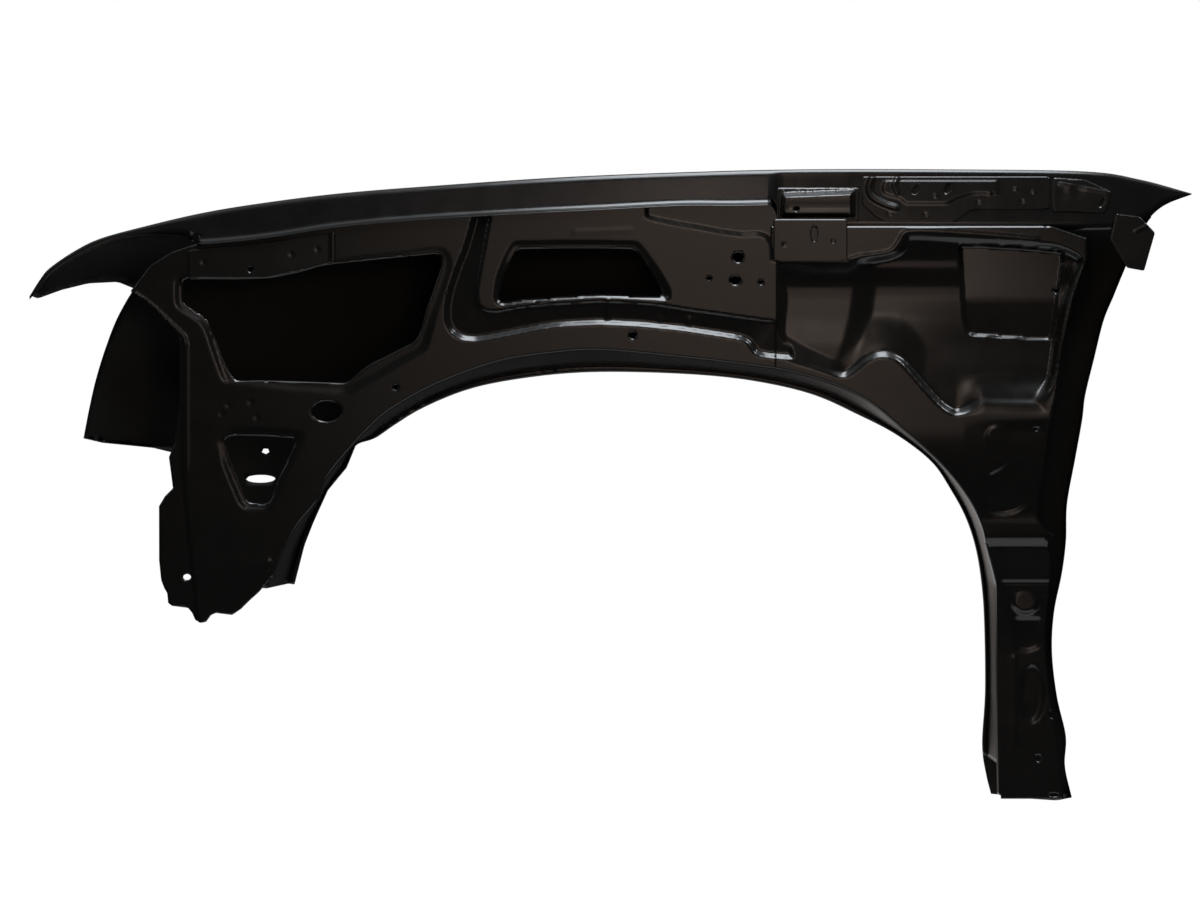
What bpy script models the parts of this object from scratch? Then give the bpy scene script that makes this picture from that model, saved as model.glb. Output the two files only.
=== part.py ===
"""A car's right-hand front fender: two steel skins and their brackets, spot welded into one panel.

The outer skin is the painted side of the car. It turns over a crown at the top into the gutter wall
and ledge that the bonnet shuts on, and round the wheel opening into a lip. The inner panels close it
on the engine side. All of them are pressed from flat sheet, so each is made here in the same way: an
outline and its holes are drawn on a flat grid, filled with triangles, and pressed to depth by a
formula. Edges are then turned through rows of points, and Solidify gives the sheet its thickness.

+X points to the rear of the car, +Y outboard and +Z up. The pieces are drawn from the front tip, the
inboard face of the front inner panel and the foot of the leg. An empty then carries them all, so that
the origin lies on the ledge, where the fender is held to the body.
"""

import math
from collections import namedtuple

import bmesh
import bpy
import numpy as np
from mathutils import Vector
from mathutils.geometry import delaunay_2d_cdt

# Driving dimensions, in metres
LENGTH = 1.300
HEIGHT = 0.716
SHEET = 0.0008
WELD_GAP = 0.0004
CROWN_DEPTH = 0.030
CROWN_SWEEP = 0.026
CROWN_SWEEP_LENGTH = 0.220
SHOULDER_WIDTH = 0.100
SHOULDER_DROP = 0.110
NOSE_LENGTH = 0.400
SIDE_BOW = 0.012
FLARE_DEPTH = 0.010
FLARE_WIDTH = 0.055
LEDGE_WIDTH = 0.026
LIP_WIDTH = 0.012
LIP_RETURN = 0.004
WELD_FLANGE = 0.009
EDGE_FLANGE = 0.013
LEG_OFFSET = 0.045
TOP_FLANGE = 0.011
FRONT_FLANGE = 0.008

# Depths and wall widths of the pressings
RIM_DEPTH = 0.0045
RIM_WALL = 0.006
CHANNEL_DEPTH = 0.014
CHANNEL_WALL = 0.009
NEST_GAP = 0.0016
BAY_DEPTH = 0.014
REAR_BAY_DEPTH = 0.027
BAY_WALL = 0.013
POCKET_HEAD_DEPTH = 0.034
POCKET_RIDGE_DEPTH = 0.018
POCKET_FOOT_DEPTH = 0.026
POCKET_WALL = 0.010
PAD_DEPTH = 0.006
PAD_WALL = 0.006
LEG_PAD_DEPTH = 0.007
BOX_RISE = 0.016
BOX_WALL = 0.008
PLATE_BEAD = 0.003
PLATE_TURN = 0.004

# Spacing of the points that the sheets are drawn with
OUTLINE_PITCH = 0.024
ARCH_PITCH = 0.019
FILL_PITCH = 0.042
SKIN_PITCH = 0.046
FINE_PITCH = 0.020

# Slopes and proportions
NOSE_TAPER_SHARE = 0.62
WALL_LEAN_SHARE = 0.28
LIP_RISE_SHARE = 0.31
BAY_RAMP_SHARE = 0.7
ROW_SHARE = 0.866
CLEAR_SHARE = 0.45
HOLE_SIDES = 8
MITRE_SHARE = 0.5
WELD_TOLERANCE_SHARE = 0.02
SMOOTH_ANGLE = math.radians(30)

# The black primer that every piece is dipped in
PRIMER_COLOUR = (0.011, 0.0105, 0.0095)
PRIMER_ROUGHNESS = 0.3

# The drawing grid. It is laid over the length and the height, with its front edge and its foot at
# these squares, and every table of shares below counts its squares, across and then down.
GRID_FRONT_SHARE = 30
GRID_FOOT_SHARE = 810
GRID_LONG_SHARE = 1162
GRID_HIGH_SHARE = 640

# Outer skin, round its edge from the front tip
CROWN_SHARES = [
    (30, 296), (40, 280), (50, 268), (75, 251), (100, 239), (140, 228), (200, 214), (260, 204),
    (340, 194), (440, 186), (560, 178), (680, 173), (800, 170), (950, 170), (1085, 172),
    (1140, 180), (1192, 194),
]
FIN_EDGE_SHARES = [(30, 296), (37, 299), (60, 291), (86, 285), (115, 284), (131, 291)]
LAMP_EDGE_SHARES = [(131, 291), (115, 320), (104, 348), (94, 380), (87, 410), (81, 441)]
BUMPER_EDGE_SHARES = [
    (81, 441), (100, 446), (150, 452), (169, 457), (205, 470), (226, 500), (246, 535), (262, 556),
    (262, 592), (291, 592),
]
FRONT_ARCH_SHARES = [(291, 592), (301, 553), (310, 530), (325, 497), (344, 474), (353, 452)]
ARCH_SHARES = [
    (357, 449), (373, 444), (392, 431), (420, 414), (460, 397), (500, 387), (560, 379), (620, 377),
    (700, 380), (760, 387), (815, 400), (860, 420), (900, 441), (935, 468), (955, 497), (970, 525),
    (980, 555), (986, 590), (989, 630), (990, 700), (987, 755), (991, 785), (996, 805),
]
FOOT_SHARES = [(996, 805), (1030, 808), (1062, 810), (1077, 807)]
DOOR_EDGE_SHARES = [
    (1077, 807), (1070, 775), (1071, 745), (1062, 705), (1057, 660), (1059, 620), (1067, 580),
    (1071, 547), (1072, 510), (1080, 465), (1087, 425), (1090, 400), (1099, 362), (1108, 325),
    (1118, 300), (1131, 268), (1142, 245), (1151, 225), (1166, 208), (1192, 194),
]
WALL_FOOT_SHARES = [
    (30, 299), (60, 268), (110, 242), (150, 235), (184, 236), (196, 243), (240, 240), (280, 235),
    (340, 226), (420, 219), (520, 213), (600, 209), (680, 205), (774, 205), (781, 230), (1100, 230),
    (1140, 222), (1166, 205), (1192, 195),
]
LEDGE_ENDS_SHARES = (196, 774)
DATUM_SHARES = (727, 205)
ARCH_CENTRE_SHARES = (640, 640)

# The line where the inner panels end above the wheel, from the front
INNER_ARCH_SHARES = [
    (264, 594), (269, 580), (277, 558), (294, 525), (314, 500), (323, 478), (343, 452), (375, 418),
    (400, 400), (440, 379), (500, 358), (560, 349), (600, 347), (660, 352), (740, 361), (800, 371),
    (860, 393), (905, 428), (945, 465), (970, 497), (984, 525), (990, 550), (998, 580), (1000, 600),
    (1001, 700), (1003, 815),
]
LAP_ACROSS_SHARES = (745, 765)
LAP_DOWN_SHARES = (515, 533)
LEG_BEND_SHARES = (380, 640)
LEG_BEND_START_SHARE = 780

# Front inner panel, down its front edge and along its foot
FRONT_EDGE_SHARES = [
    (196, 244), (172, 252), (150, 266), (131, 291), (155, 308), (176, 332), (181, 345), (181, 400),
    (176, 440), (169, 457), (173, 488), (165, 496), (159, 506), (159, 560), (164, 588), (168, 603),
    (190, 609), (193, 617), (199, 622), (206, 622), (212, 614), (232, 615), (250, 600), (269, 580),
]
FRONT_TURN_SHARES = ((131, 291), (176, 440))
FRONT_PANEL_END_SHARE = 778
WINDOW_1_SHARES = [
    (183, 283), (183, 303), (205, 317), (213, 330), (225, 362), (236, 380), (290, 381), (345, 383),
    (358, 372), (385, 357), (413, 343), (421, 330), (433, 292), (443, 262), (438, 253), (400, 257),
    (340, 263), (300, 272), (270, 279),
]
WINDOW_1_RIM_SHARES = [
    (174, 283), (174, 302), (181, 311), (202, 325), (221, 380), (228, 386), (290, 391), (345, 395),
    (380, 378), (425, 352), (433, 335), (455, 268), (452, 253), (440, 244), (400, 249), (340, 256),
    (300, 264), (270, 271), (190, 273),
]
WINDOW_2_SHARES = [
    (224, 440), (240, 435), (297, 438), (290, 455), (275, 485), (268, 503), (248, 502), (233, 465),
]
WINDOW_2_RIM_SHARES = [
    (216, 440), (230, 428), (240, 428), (302, 430), (305, 438), (285, 478), (273, 506), (262, 511),
    (245, 510), (230, 485),
]
WINDOW_3_SHARES = [
    (517, 249), (636, 249), (645, 262), (661, 288), (661, 295), (600, 294), (560, 297), (503, 303),
    (499, 298), (503, 275),
]
WINDOW_3_RIM_SHARES = [
    (510, 240), (641, 240), (653, 258), (670, 286), (668, 300), (600, 297), (560, 299), (500, 306),
    (493, 298), (497, 272),
]
CHANNEL_SHARES = [
    (474, 216), (462, 250), (447, 290), (444, 310), (450, 330), (475, 338), (540, 325), (600, 321),
    (680, 327), (746, 337), (752, 346), (766, 350), (790, 351), (790, 320), (740, 315), (690, 306),
    (640, 300), (600, 298), (560, 299), (520, 303), (495, 309), (480, 303), (478, 290), (484, 250),
    (492, 216),
]
SMALL_HOLES_SHARES = [
    (251, 269, 3, 3), (396, 387, 3, 3), (327, 411, 15, 10), (632, 335, 4, 4), (738, 257, 5, 5),
    (735, 280, 6, 4), (709, 278, 2, 2), (761, 282, 2, 2), (187, 577, 4, 3),
]

# Rear inner panel
REAR_PANEL_START_SHARE = 770
REAR_EDGE_SHARES = [
    (1048, 548), (1056, 537), (1045, 530), (1038, 518), (1039, 500), (1046, 450), (1053, 410),
    (1058, 370), (1068, 320), (1078, 280), (1086, 258), (1086, 238), (1050, 226), (770, 226),
]
REAR_TOP_TURN_SHARES = (792, 1045)
BAY_SHARES = [
    (774, 256), (774, 330), (782, 352), (806, 359), (836, 370), (852, 368), (868, 356), (890, 357),
    (915, 378), (940, 402), (966, 414), (1046, 412), (1054, 370), (1064, 326), (1072, 292),
    (1078, 262), (1030, 244), (905, 238), (896, 254),
]
BAY_STEP_SHARES = [(862, 230), (862, 290), (858, 330), (846, 356), (836, 380)]
BAY_STEP_HALF_SHARE = 14
BAY_HEAD_SHARE = 256
BAY_RAMP_END_SHARE = 372
POCKET_SHARES = [
    (955, 245), (962, 320), (966, 334), (1050, 340), (1056, 330), (1062, 290), (1066, 256),
    (1030, 248),
]
POCKET_LEVELS_SHARES = (336, 300, 245)
POCKET_RIDGE_SHARES = [(958, 300), (1061, 300)]
PAD_SHARES = [
    (988, 478), (1000, 466), (1010, 456), (1024, 454), (1034, 462), (1035, 492), (1026, 508),
    (1008, 517), (992, 516), (989, 503),
]
REAR_HOLES_SHARES = [(1056, 291, 2, 2), (1028, 429, 2, 2)]

# Leg inner panel
LEG_EDGE_SHARES = [
    (1003, 803), (1066, 803), (1062, 762), (1056, 722), (1050, 682), (1047, 645), (1050, 600),
    (1052, 560), (1044, 538),
]
LEG_TOP_SHARE = 538
LEG_PAD_SHARES = [(1015, 622), (1042, 622), (1043, 648), (1038, 656), (1020, 656), (1015, 648)]
LEG_OVAL_SHARES = (1034, 697, 14, 30)
LEG_HOLES_SHARES = [(1055, 718, 4, 4), (1040, 762, 3, 4)]

# Strips and brackets
RAIL_SHARES = [
    (189, 250), (189, 277), (268, 277), (310, 268), (336, 261), (336, 232), (280, 240), (240, 245),
]
SLOTTED_PLATE_SHARES = [(773, 219), (773, 260), (847, 260), (847, 219)]
SLOTTED_PLATE_HOLES_SHARES = [(814, 233, 3, 8), (833, 241, 2, 2)]
BOX_FLANGE_SHARES = [(777, 188), (777, 222), (859, 222), (859, 188)]
BOX_SHARES = [(780, 191), (780, 218), (855, 218), (855, 191)]
BOX_HOLES_SHARES = [(798, 204, 4, 3)]
HINGE_PLATE_SHARES = [
    (862, 177), (862, 204), (875, 216), (885, 222), (955, 222), (970, 211), (980, 209), (1050, 209),
    (1050, 177),
]
HINGE_BEAD_SHARES = [(868, 182), (868, 200), (880, 214), (948, 214), (962, 202), (962, 182)]
HINGE_HOLES_SHARES = [(916, 190, 3, 4), (948, 189, 3, 4)]
GUSSET_SHARES = [(1053, 178), (1053, 212), (1106, 212), (1112, 192), (1085, 180)]
GUSSET_HOLES_SHARES = [(1102, 203, 2, 4)]
TAB_SHARES = [(1116, 214), (1110, 240), (1127, 268), (1144, 271), (1155, 233), (1140, 217)]
SKIN_HOLES_SHARES = [(262, 457, 4, 3), (257, 485, 15, 4), (277, 582, 4, 3)]

Pressing = namedtuple("Pressing", "loop depth wall")
LAYER = SHEET + WELD_GAP
SQUARE = LENGTH / GRID_LONG_SHARE


def clear_scene():
    for obj in list(bpy.data.objects):
        bpy.data.objects.remove(obj, do_unlink=True)


def across(squares):
    """Grid squares counted across, as a distance from the front tip."""
    return (np.asarray(squares, float) - GRID_FRONT_SHARE) / GRID_LONG_SHARE * LENGTH


def height(squares):
    """Grid squares counted down, as a height above the foot."""
    return (GRID_FOOT_SHARE - np.asarray(squares, float)) / GRID_HIGH_SHARE * HEIGHT


def place(squares):
    """Grid squares of a table as points across and up, in metres."""
    table = np.asarray(squares, float).reshape(-1, 2)
    return np.column_stack([across(table[:, 0]), height(table[:, 1])])


def ease(amount):
    """A ramp from 0 to 1 that starts and ends level."""
    amount = np.clip(amount, 0, 1)
    return amount * amount * (3 - 2 * amount)


def divide(points, pitch, closed=False):
    """The same line with points added, so that none are further apart than the pitch."""
    ends = np.roll(points, -1, axis=0) if closed else points[1:]
    pieces = []
    for start, end in zip(points, ends):
        count = max(1, math.ceil(np.linalg.norm(end - start) / pitch))
        pieces.append(start + (end - start) * np.arange(count)[:, None] / count)
    return np.concatenate(pieces if closed else pieces + [points[-1:]])


def curve_through(points, pitch, closed=False):
    """A Catmull-Rom curve through hand-placed points, sampled at about the pitch."""
    if closed:
        padded = np.concatenate([points[-1:], points, points[:2]])
    else:
        before_first = 2 * points[:1] - points[1:2]
        after_last = 2 * points[-1:] - points[-2:-1]
        padded = np.concatenate([before_first, points, after_last])
    pieces = []
    for before, start, end, after in zip(padded, padded[1:], padded[2:], padded[3:]):
        count = max(1, round(np.linalg.norm(end - start) / pitch))
        t = np.arange(count)[:, None] / count
        pieces.append(
            start
            + t * (end - before) / 2
            + t**2 * (before - 2.5 * start + 2 * end - after / 2)
            + t**3 * (1.5 * (start - end) + (after - before) / 2)
        )
    return np.concatenate(pieces if closed else pieces + [points[-1:]])


def oval(middle_and_radii):
    """A round or oval loop, from its middle and its two radii in grid squares."""
    middle_across, middle_down, half_across, half_down = middle_and_radii
    sides = HOLE_SIDES if half_across + half_down < HOLE_SIDES * 2 else HOLE_SIDES * 2
    turn = np.arange(sides) / sides * math.tau
    loop_across = middle_across + half_across * np.cos(turn)
    loop_down = middle_down + half_down * np.sin(turn)
    return place(np.column_stack([loop_across, loop_down]))


def line_distance(points, start, end):
    """Distance from each point to the nearest of some straight pieces."""
    run = end - start
    offset = points[:, None] - start
    share = np.clip((offset * run).sum(2) / (run**2).sum(1), 0, 1)
    return np.linalg.norm(offset - share[..., None] * run, axis=2).min(1)


def signed_distance(points, loop):
    """Distance from each point to a closed loop, below zero inside it."""
    start, end = loop, np.roll(loop, -1, axis=0)
    low, high = points[:, None, 1] < start[:, 1], points[:, None, 1] < end[:, 1]
    rise = np.where(low != high, end[:, 1] - start[:, 1], 1)
    reach = start[:, 0] + (points[:, None, 1] - start[:, 1]) / rise * (end[:, 0] - start[:, 0])
    inside = ((low != high) & (points[:, None, 0] < reach)).sum(1) % 2 == 1
    return np.where(inside, -1, 1) * line_distance(points, start, end)


def inset(loop, distance):
    """The loop moved inwards by a distance, with its corners mitred."""
    following = np.roll(loop, -1, axis=0)
    ahead = following - loop
    ahead /= np.linalg.norm(ahead, axis=1)[:, None]
    normal = np.column_stack([-ahead[:, 1], ahead[:, 0]])
    corner = normal + np.roll(normal, 1, axis=0)
    corner /= np.linalg.norm(corner, axis=1)[:, None]
    mitre = np.clip((corner * normal).sum(1), MITRE_SHARE, 1)
    area = (loop[:, 0] * following[:, 1] - following[:, 0] * loop[:, 1]).sum()
    return loop + corner / mitre[:, None] * distance * np.sign(area)


def pressed(points, pressings):
    """Depth of a sheet below its flat face: at each point, that of the deepest pressing there."""
    depth = np.zeros(len(points))
    for pressing in pressings:
        full = pressing.depth(points) if callable(pressing.depth) else pressing.depth
        amount = full * ease(-signed_distance(points, pressing.loop) / pressing.wall)
        depth = np.where(np.abs(amount) > np.abs(depth), amount, depth)
    return depth


def press_of(table, depth, wall):
    """A pressing drawn on the grid, with straight sides."""
    return Pressing(divide(place(table), OUTLINE_PITCH, closed=True), depth, wall)


def pressing_folds(pressings):
    """The closed lines where the walls of the pressings start and end."""
    return [
        line
        for pressing in pressings
        for line in (pressing.loop, inset(pressing.loop, pressing.wall))
    ]


def fill_sheet(edge, holes, pitch, folds=(), creases=()):
    """Points and triangles that fill an outline and leave its holes open.

    Triangle edges follow the folds, which are closed lines, and the creases, which are open ones.
    """
    closed = [edge, *holes, *folds]
    low, high = edge.min(0), edge.max(0)
    columns = np.arange(low[0], high[0], pitch)
    rows = np.arange(low[1], high[1], pitch * ROW_SHARE)
    fill_across, fill_up = np.meshgrid(columns, rows)
    fill_across[1::2] += pitch / 2
    fill = np.column_stack([fill_across.ravel(), fill_up.ravel()])
    fill = fill[signed_distance(fill, edge) < 0]
    starts = closed + [line[:-1] for line in creases]
    ends = [np.roll(line, -1, axis=0) for line in closed] + [line[1:] for line in creases]
    gap = line_distance(fill, np.concatenate(starts), np.concatenate(ends))
    fill = fill[gap > pitch * CLEAR_SHARE]
    edges, first = [], 0
    for number, line in enumerate([*closed, *creases]):
        edges += [(first + i, first + i + 1) for i in range(len(line) - 1)]
        if number < len(closed):
            edges.append((first + len(line) - 1, first))
        first += len(line)
    points = [Vector(point) for point in np.concatenate([*closed, *creases, fill])]
    made, _, faces, *_ = delaunay_2d_cdt(points, edges, [], 0, SHEET * WELD_TOLERANCE_SHARE)
    flat, faces = np.array([tuple(point) for point in made]), np.array(faces)
    middles = flat[faces].mean(1)
    kept = signed_distance(middles, edge) < 0
    for hole in holes:
        kept &= signed_distance(middles, hole) > 0
    used, index = np.unique(faces[kept], return_inverse=True)
    return flat[used], index.reshape(-1, 3)


def sheet_of(flat_points, faces, lift):
    """A bmesh of the filled outline, lifted to its pressed form."""
    mesh = bpy.data.meshes.new("sheet")
    mesh.from_pydata(lift(flat_points), [], faces)
    bm = bmesh.new()
    bm.from_mesh(mesh)
    bpy.data.meshes.remove(mesh)
    return bm


def edge_between(bm, first, last):
    """The vertices of the sheet's edge from the one nearest a point to the one nearest another.

    The edge runs anticlockwise, as seen from inboard with the front at the left.
    """
    following = {
        loop.vert: loop.link_loop_next.vert
        for face in bm.faces
        for loop in face.loops
        if loop.edge.is_boundary
    }

    def nearest(point):
        goal = Vector(point)
        return min(following, key=lambda vertex: (vertex.co.xz - goal).length)

    run, stop = [nearest(first)], nearest(last)
    while run[-1] != stop:
        run.append(following[run[-1]])
    return run


def positions(vertices):
    return np.array([tuple(vertex.co) for vertex in vertices])


def turn_edge(bm, edge, rows):
    """Carries a sheet on from its edge through rows of points, one row for each bend."""
    for row in rows:
        made = [bm.verts.new(point) for point in row]
        for start, end, far_end, far_start in zip(edge, edge[1:], made[1:], made):
            bm.faces.new((end, start, far_start, far_end))
        edge = made
    return edge


def primer(name):
    material = bpy.data.materials.new(name)
    material.use_nodes = True
    shader = material.node_tree.nodes["Principled BSDF"]
    shader.inputs["Base Color"].default_value = (*PRIMER_COLOUR, 1)
    shader.inputs["Roughness"].default_value = PRIMER_ROUGHNESS
    return material


def add_sheet(name, bm, collection, outside_out=False):
    """An object from a bmesh, made a sheet of the sheet thickness behind its drawn face."""
    if outside_out:
        bmesh.ops.reverse_faces(bm, faces=bm.faces)
    mesh = bpy.data.meshes.new(name)
    bm.to_mesh(mesh)
    bm.free()
    obj = bpy.data.objects.new(name, mesh)
    collection.objects.link(obj)
    solidify = obj.modifiers.new("thickness", "SOLIDIFY")
    solidify.thickness = SHEET
    solidify.offset = -1
    solidify.use_even_offset = True
    solidify.use_quality_normals = True
    mesh.materials.append(primer(name + "_primer"))
    mesh.shade_smooth()
    mesh.set_sharp_from_angle(angle=SMOOTH_ANGLE)


# Lines that more than one piece follows
CROWN = curve_through(place(CROWN_SHARES), OUTLINE_PITCH)
ARCH = np.concatenate(
    [divide(place(FRONT_ARCH_SHARES), ARCH_PITCH), curve_through(place(ARCH_SHARES), ARCH_PITCH)]
)
INNER_ARCH = curve_through(place(INNER_ARCH_SHARES), ARCH_PITCH)
WALL_FOOT = place(WALL_FOOT_SHARES)
ARCH_CENTRE = place(ARCH_CENTRE_SHARES)[0]


def crown_height(x):
    return np.interp(x, CROWN[:, 0], CROWN[:, 1])


def crown_depth(x):
    """Depth of the crown line, which sweeps inboard towards the front."""
    return CROWN_DEPTH - CROWN_SWEEP * np.clip(1 - x / CROWN_SWEEP_LENGTH, 0, 1) ** 2


def wall_foot_height(x):
    return np.interp(x, WALL_FOOT[:, 0], WALL_FOOT[:, 1])


def wall_depth(x, z):
    """Depth of the gutter wall's inboard face, which leans inboard as it drops."""
    return crown_depth(x) - WALL_LEAN_SHARE * (crown_height(x) - z)


def leg_depth(points):
    """How far the inner panels move outboard towards the leg."""
    top, foot = height(LEG_BEND_SHARES)
    down = ease((top - points[:, 1]) / (top - foot))
    behind = points[:, 0] > across(LEG_BEND_START_SHARE)
    return LEG_OFFSET * down * behind


def unroll(points):
    """Points across and up, with the round of the shoulder rolled out flat under the crown line."""
    top = crown_height(points[:, 0])
    drop = np.clip(top - points[:, 1], 0, None)
    share = np.clip(drop / SHOULDER_DROP, 0, 1)
    rolled = SHOULDER_DROP * np.arccos(1 - share) / (math.pi / 2)
    return np.column_stack([points[:, 0], top - np.where(drop < SHOULDER_DROP, rolled, drop)])


def skin_form(flat_points):
    """The outer skin: a quarter ellipse from the crown line, then a bowed side with a flared arch."""
    x, top = flat_points[:, 0], crown_height(flat_points[:, 0])
    unrolled = top - flat_points[:, 1]
    angle = np.clip(unrolled / SHOULDER_DROP, 0, 1) * math.pi / 2
    drop = np.where(unrolled < SHOULDER_DROP, SHOULDER_DROP * (1 - np.cos(angle)), unrolled)
    z = top - drop
    width = SHOULDER_WIDTH * (1 - NOSE_TAPER_SHARE * np.clip(1 - x / NOSE_LENGTH, 0, 1) ** 2)
    below = np.clip((drop - SHOULDER_DROP) / (HEIGHT - SHOULDER_DROP), 0, 1)
    arch_gap = line_distance(np.column_stack([x, z]), ARCH[:-1], ARCH[1:])
    flare = FLARE_DEPTH * ease(1 - arch_gap / FLARE_WIDTH) * np.sin(angle)
    y = crown_depth(x) + width * np.sin(angle) + SIDE_BOW * np.sin(math.pi * below) + flare
    return np.column_stack([x, y, z])


def lip_layers(points):
    """Number of inner sheets that lie in front of the wheel lip's weld flange."""
    first, last = across(LAP_ACROSS_SHARES)
    top, foot = height(LAP_DOWN_SHARES)
    behind = np.clip((points[:, 0] - first) / (last - first), 0, 1)
    below = np.clip((top - points[:, 1]) / (top - foot), 0, 1)
    return 1 + behind + below * (points[:, 0] > last)


def wheel_lip_rows(edge):
    """Rows of the wheel lip: under the edge, up its return, in to the inner panels, and its flange."""
    start = positions(edge)
    spoke = start[:, [0, 2]] - ARCH_CENTRE
    radius = np.linalg.norm(spoke, axis=1)
    spoke /= radius[:, None]
    line = INNER_ARCH - ARCH_CENTRE
    line_turn = np.arctan2(line[:, 1], line[:, 0])
    line_radius = np.linalg.norm(line, axis=1)
    spoke_turn = np.arctan2(spoke[:, 1], spoke[:, 0])
    inner_radius = np.interp(spoke_turn, line_turn[::-1], line_radius[::-1])

    def row(reach, depth):
        flat = ARCH_CENTRE + spoke * reach[:, None]
        return np.column_stack([flat[:, 0], depth(flat), flat[:, 1]])

    def on_inner(flat):
        return leg_depth(flat) + LAYER * lip_layers(flat)

    risen = radius + LIP_RISE_SHARE * (inner_radius - radius)
    return [
        row(radius, lambda flat: start[:, 1] - LIP_WIDTH),
        row(risen, lambda flat: start[:, 1] - LIP_WIDTH - LIP_RETURN),
        row(inner_radius, on_inner),
        row(inner_radius + WELD_FLANGE, on_inner),
    ]


def build_outer_skin(collection):
    """The painted skin, with its gutter wall and ledge, its wheel lip and its turned edges."""
    fin = divide(place(FIN_EDGE_SHARES), OUTLINE_PITCH)
    lamp = curve_through(place(LAMP_EDGE_SHARES), OUTLINE_PITCH)
    bumper = divide(place(BUMPER_EDGE_SHARES), OUTLINE_PITCH)
    foot = divide(place(FOOT_SHARES), OUTLINE_PITCH)
    door = curve_through(place(DOOR_EDGE_SHARES), OUTLINE_PITCH)
    stretches = [fin, lamp, bumper, ARCH, foot, door, CROWN[::-1]]
    edge = np.concatenate([stretch[:-1] for stretch in stretches])
    holes = [oval(hole) for hole in SKIN_HOLES_SHARES]
    spoke = ARCH - ARCH_CENTRE
    flare_line = ARCH + spoke * FLARE_WIDTH / np.linalg.norm(spoke, axis=1)[:, None]
    flare_line = flare_line[signed_distance(flare_line, edge) < 0]
    flat, faces = fill_sheet(
        unroll(edge), [unroll(hole) for hole in holes], SKIN_PITCH, creases=[unroll(flare_line)]
    )
    bm = sheet_of(flat, faces, skin_form)

    wheel_edge = edge_between(bm, ARCH[0], ARCH[-3])
    front_edge = edge_between(bm, fin[2], bumper[-2])
    rear_edge = edge_between(bm, foot[1], door[-4])
    crown_edge = edge_between(bm, CROWN[-1], CROWN[0])

    turn_edge(bm, wheel_edge, wheel_lip_rows(wheel_edge))
    for run in (front_edge, rear_edge):
        row = positions(run)
        row[:, 1] -= EDGE_FLANGE
        turn_edge(bm, run, [row])

    wall = positions(crown_edge)
    wall[:, 2] = wall_foot_height(wall[:, 0])
    wall[:, 1] = wall_depth(wall[:, 0], wall[:, 2])
    wall_edge = turn_edge(bm, crown_edge, [wall])
    first, last = across(LEDGE_ENDS_SHARES)
    ledge_edge = [vertex for vertex in wall_edge if first <= vertex.co.x <= last]
    ledge = positions(ledge_edge)
    ledge[:, 1] -= LEDGE_WIDTH
    turn_edge(bm, ledge_edge, [ledge])
    add_sheet("outer_skin", bm, collection, outside_out=True)


def arch_between(first, last):
    """The stretch of the inner panels' arch line between two points across."""
    inside = (INNER_ARCH[:, 0] > first) & (INNER_ARCH[:, 0] < last)
    return INNER_ARCH[inside]


def weld_line(edge):
    """The line on an inner panel behind which the wheel lip's weld flange ends."""
    spoke = INNER_ARCH - ARCH_CENTRE
    line = INNER_ARCH + spoke * WELD_FLANGE / np.linalg.norm(spoke, axis=1)[:, None]
    return line[signed_distance(line, edge) < 0]


def point_on_arch(x):
    return np.array([x, np.interp(x, INNER_ARCH[:, 0], INNER_ARCH[:, 1])])


def build_front_inner_panel(collection):
    """The front inner panel: three windows with pressed rims and a channel that turns a corner."""
    front = divide(place(FRONT_EDGE_SHARES), OUTLINE_PITCH)
    end = across(FRONT_PANEL_END_SHARE)
    arch = arch_between(front[-1, 0], end - ARCH_PITCH / 2)
    head_across = np.arange(end, front[0, 0], -OUTLINE_PITCH)
    head = np.column_stack([head_across, wall_foot_height(head_across) - LAYER])
    side = divide(np.array([point_on_arch(end), head[0]]), FILL_PITCH)
    edge = np.concatenate([front, arch, side[:-1], head])
    windows = (WINDOW_1_SHARES, WINDOW_2_SHARES, WINDOW_3_SHARES)
    holes = [curve_through(place(table), OUTLINE_PITCH, closed=True) for table in windows]
    holes += [oval(hole) for hole in SMALL_HOLES_SHARES]
    rims = (WINDOW_1_RIM_SHARES, WINDOW_2_RIM_SHARES, WINDOW_3_RIM_SHARES)
    pressings = [press_of(rim, RIM_DEPTH, RIM_WALL) for rim in rims]
    pressings.append(press_of(CHANNEL_SHARES, CHANNEL_DEPTH, CHANNEL_WALL))
    flat, faces = fill_sheet(edge, holes, FILL_PITCH, pressing_folds(pressings))

    def form(points):
        return np.column_stack([points[:, 0], pressed(points, pressings), points[:, 1]])

    bm = sheet_of(flat, faces, form)
    head_edge = edge_between(bm, head[0], head[-1])
    row = positions(head_edge)
    row[:, 1] += TOP_FLANGE
    turn_edge(bm, head_edge, [row])
    turn_start, turn_end = place(FRONT_TURN_SHARES)
    front_edge = edge_between(bm, turn_start, turn_end)
    row = positions(front_edge)
    row[:, 1] += FRONT_FLANGE
    turn_edge(bm, front_edge, [row])
    add_sheet("front_inner_panel", bm, collection)


def bay_depth(points):
    """Depth of the rear panel's bay: deeper behind a slanted step, and shallower further down."""
    step = place(BAY_STEP_SHARES)[::-1]
    half = BAY_STEP_HALF_SHARE * SQUARE
    middle = np.interp(points[:, 1], step[:, 1], step[:, 0])
    behind = ease((points[:, 0] - middle + half) / (2 * half))
    head, ramp_end = height(BAY_HEAD_SHARE), height(BAY_RAMP_END_SHARE)
    down = ease((head - points[:, 1]) / (head - ramp_end))
    return (BAY_DEPTH + (REAR_BAY_DEPTH - BAY_DEPTH) * behind) * (1 - BAY_RAMP_SHARE * down)


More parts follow.
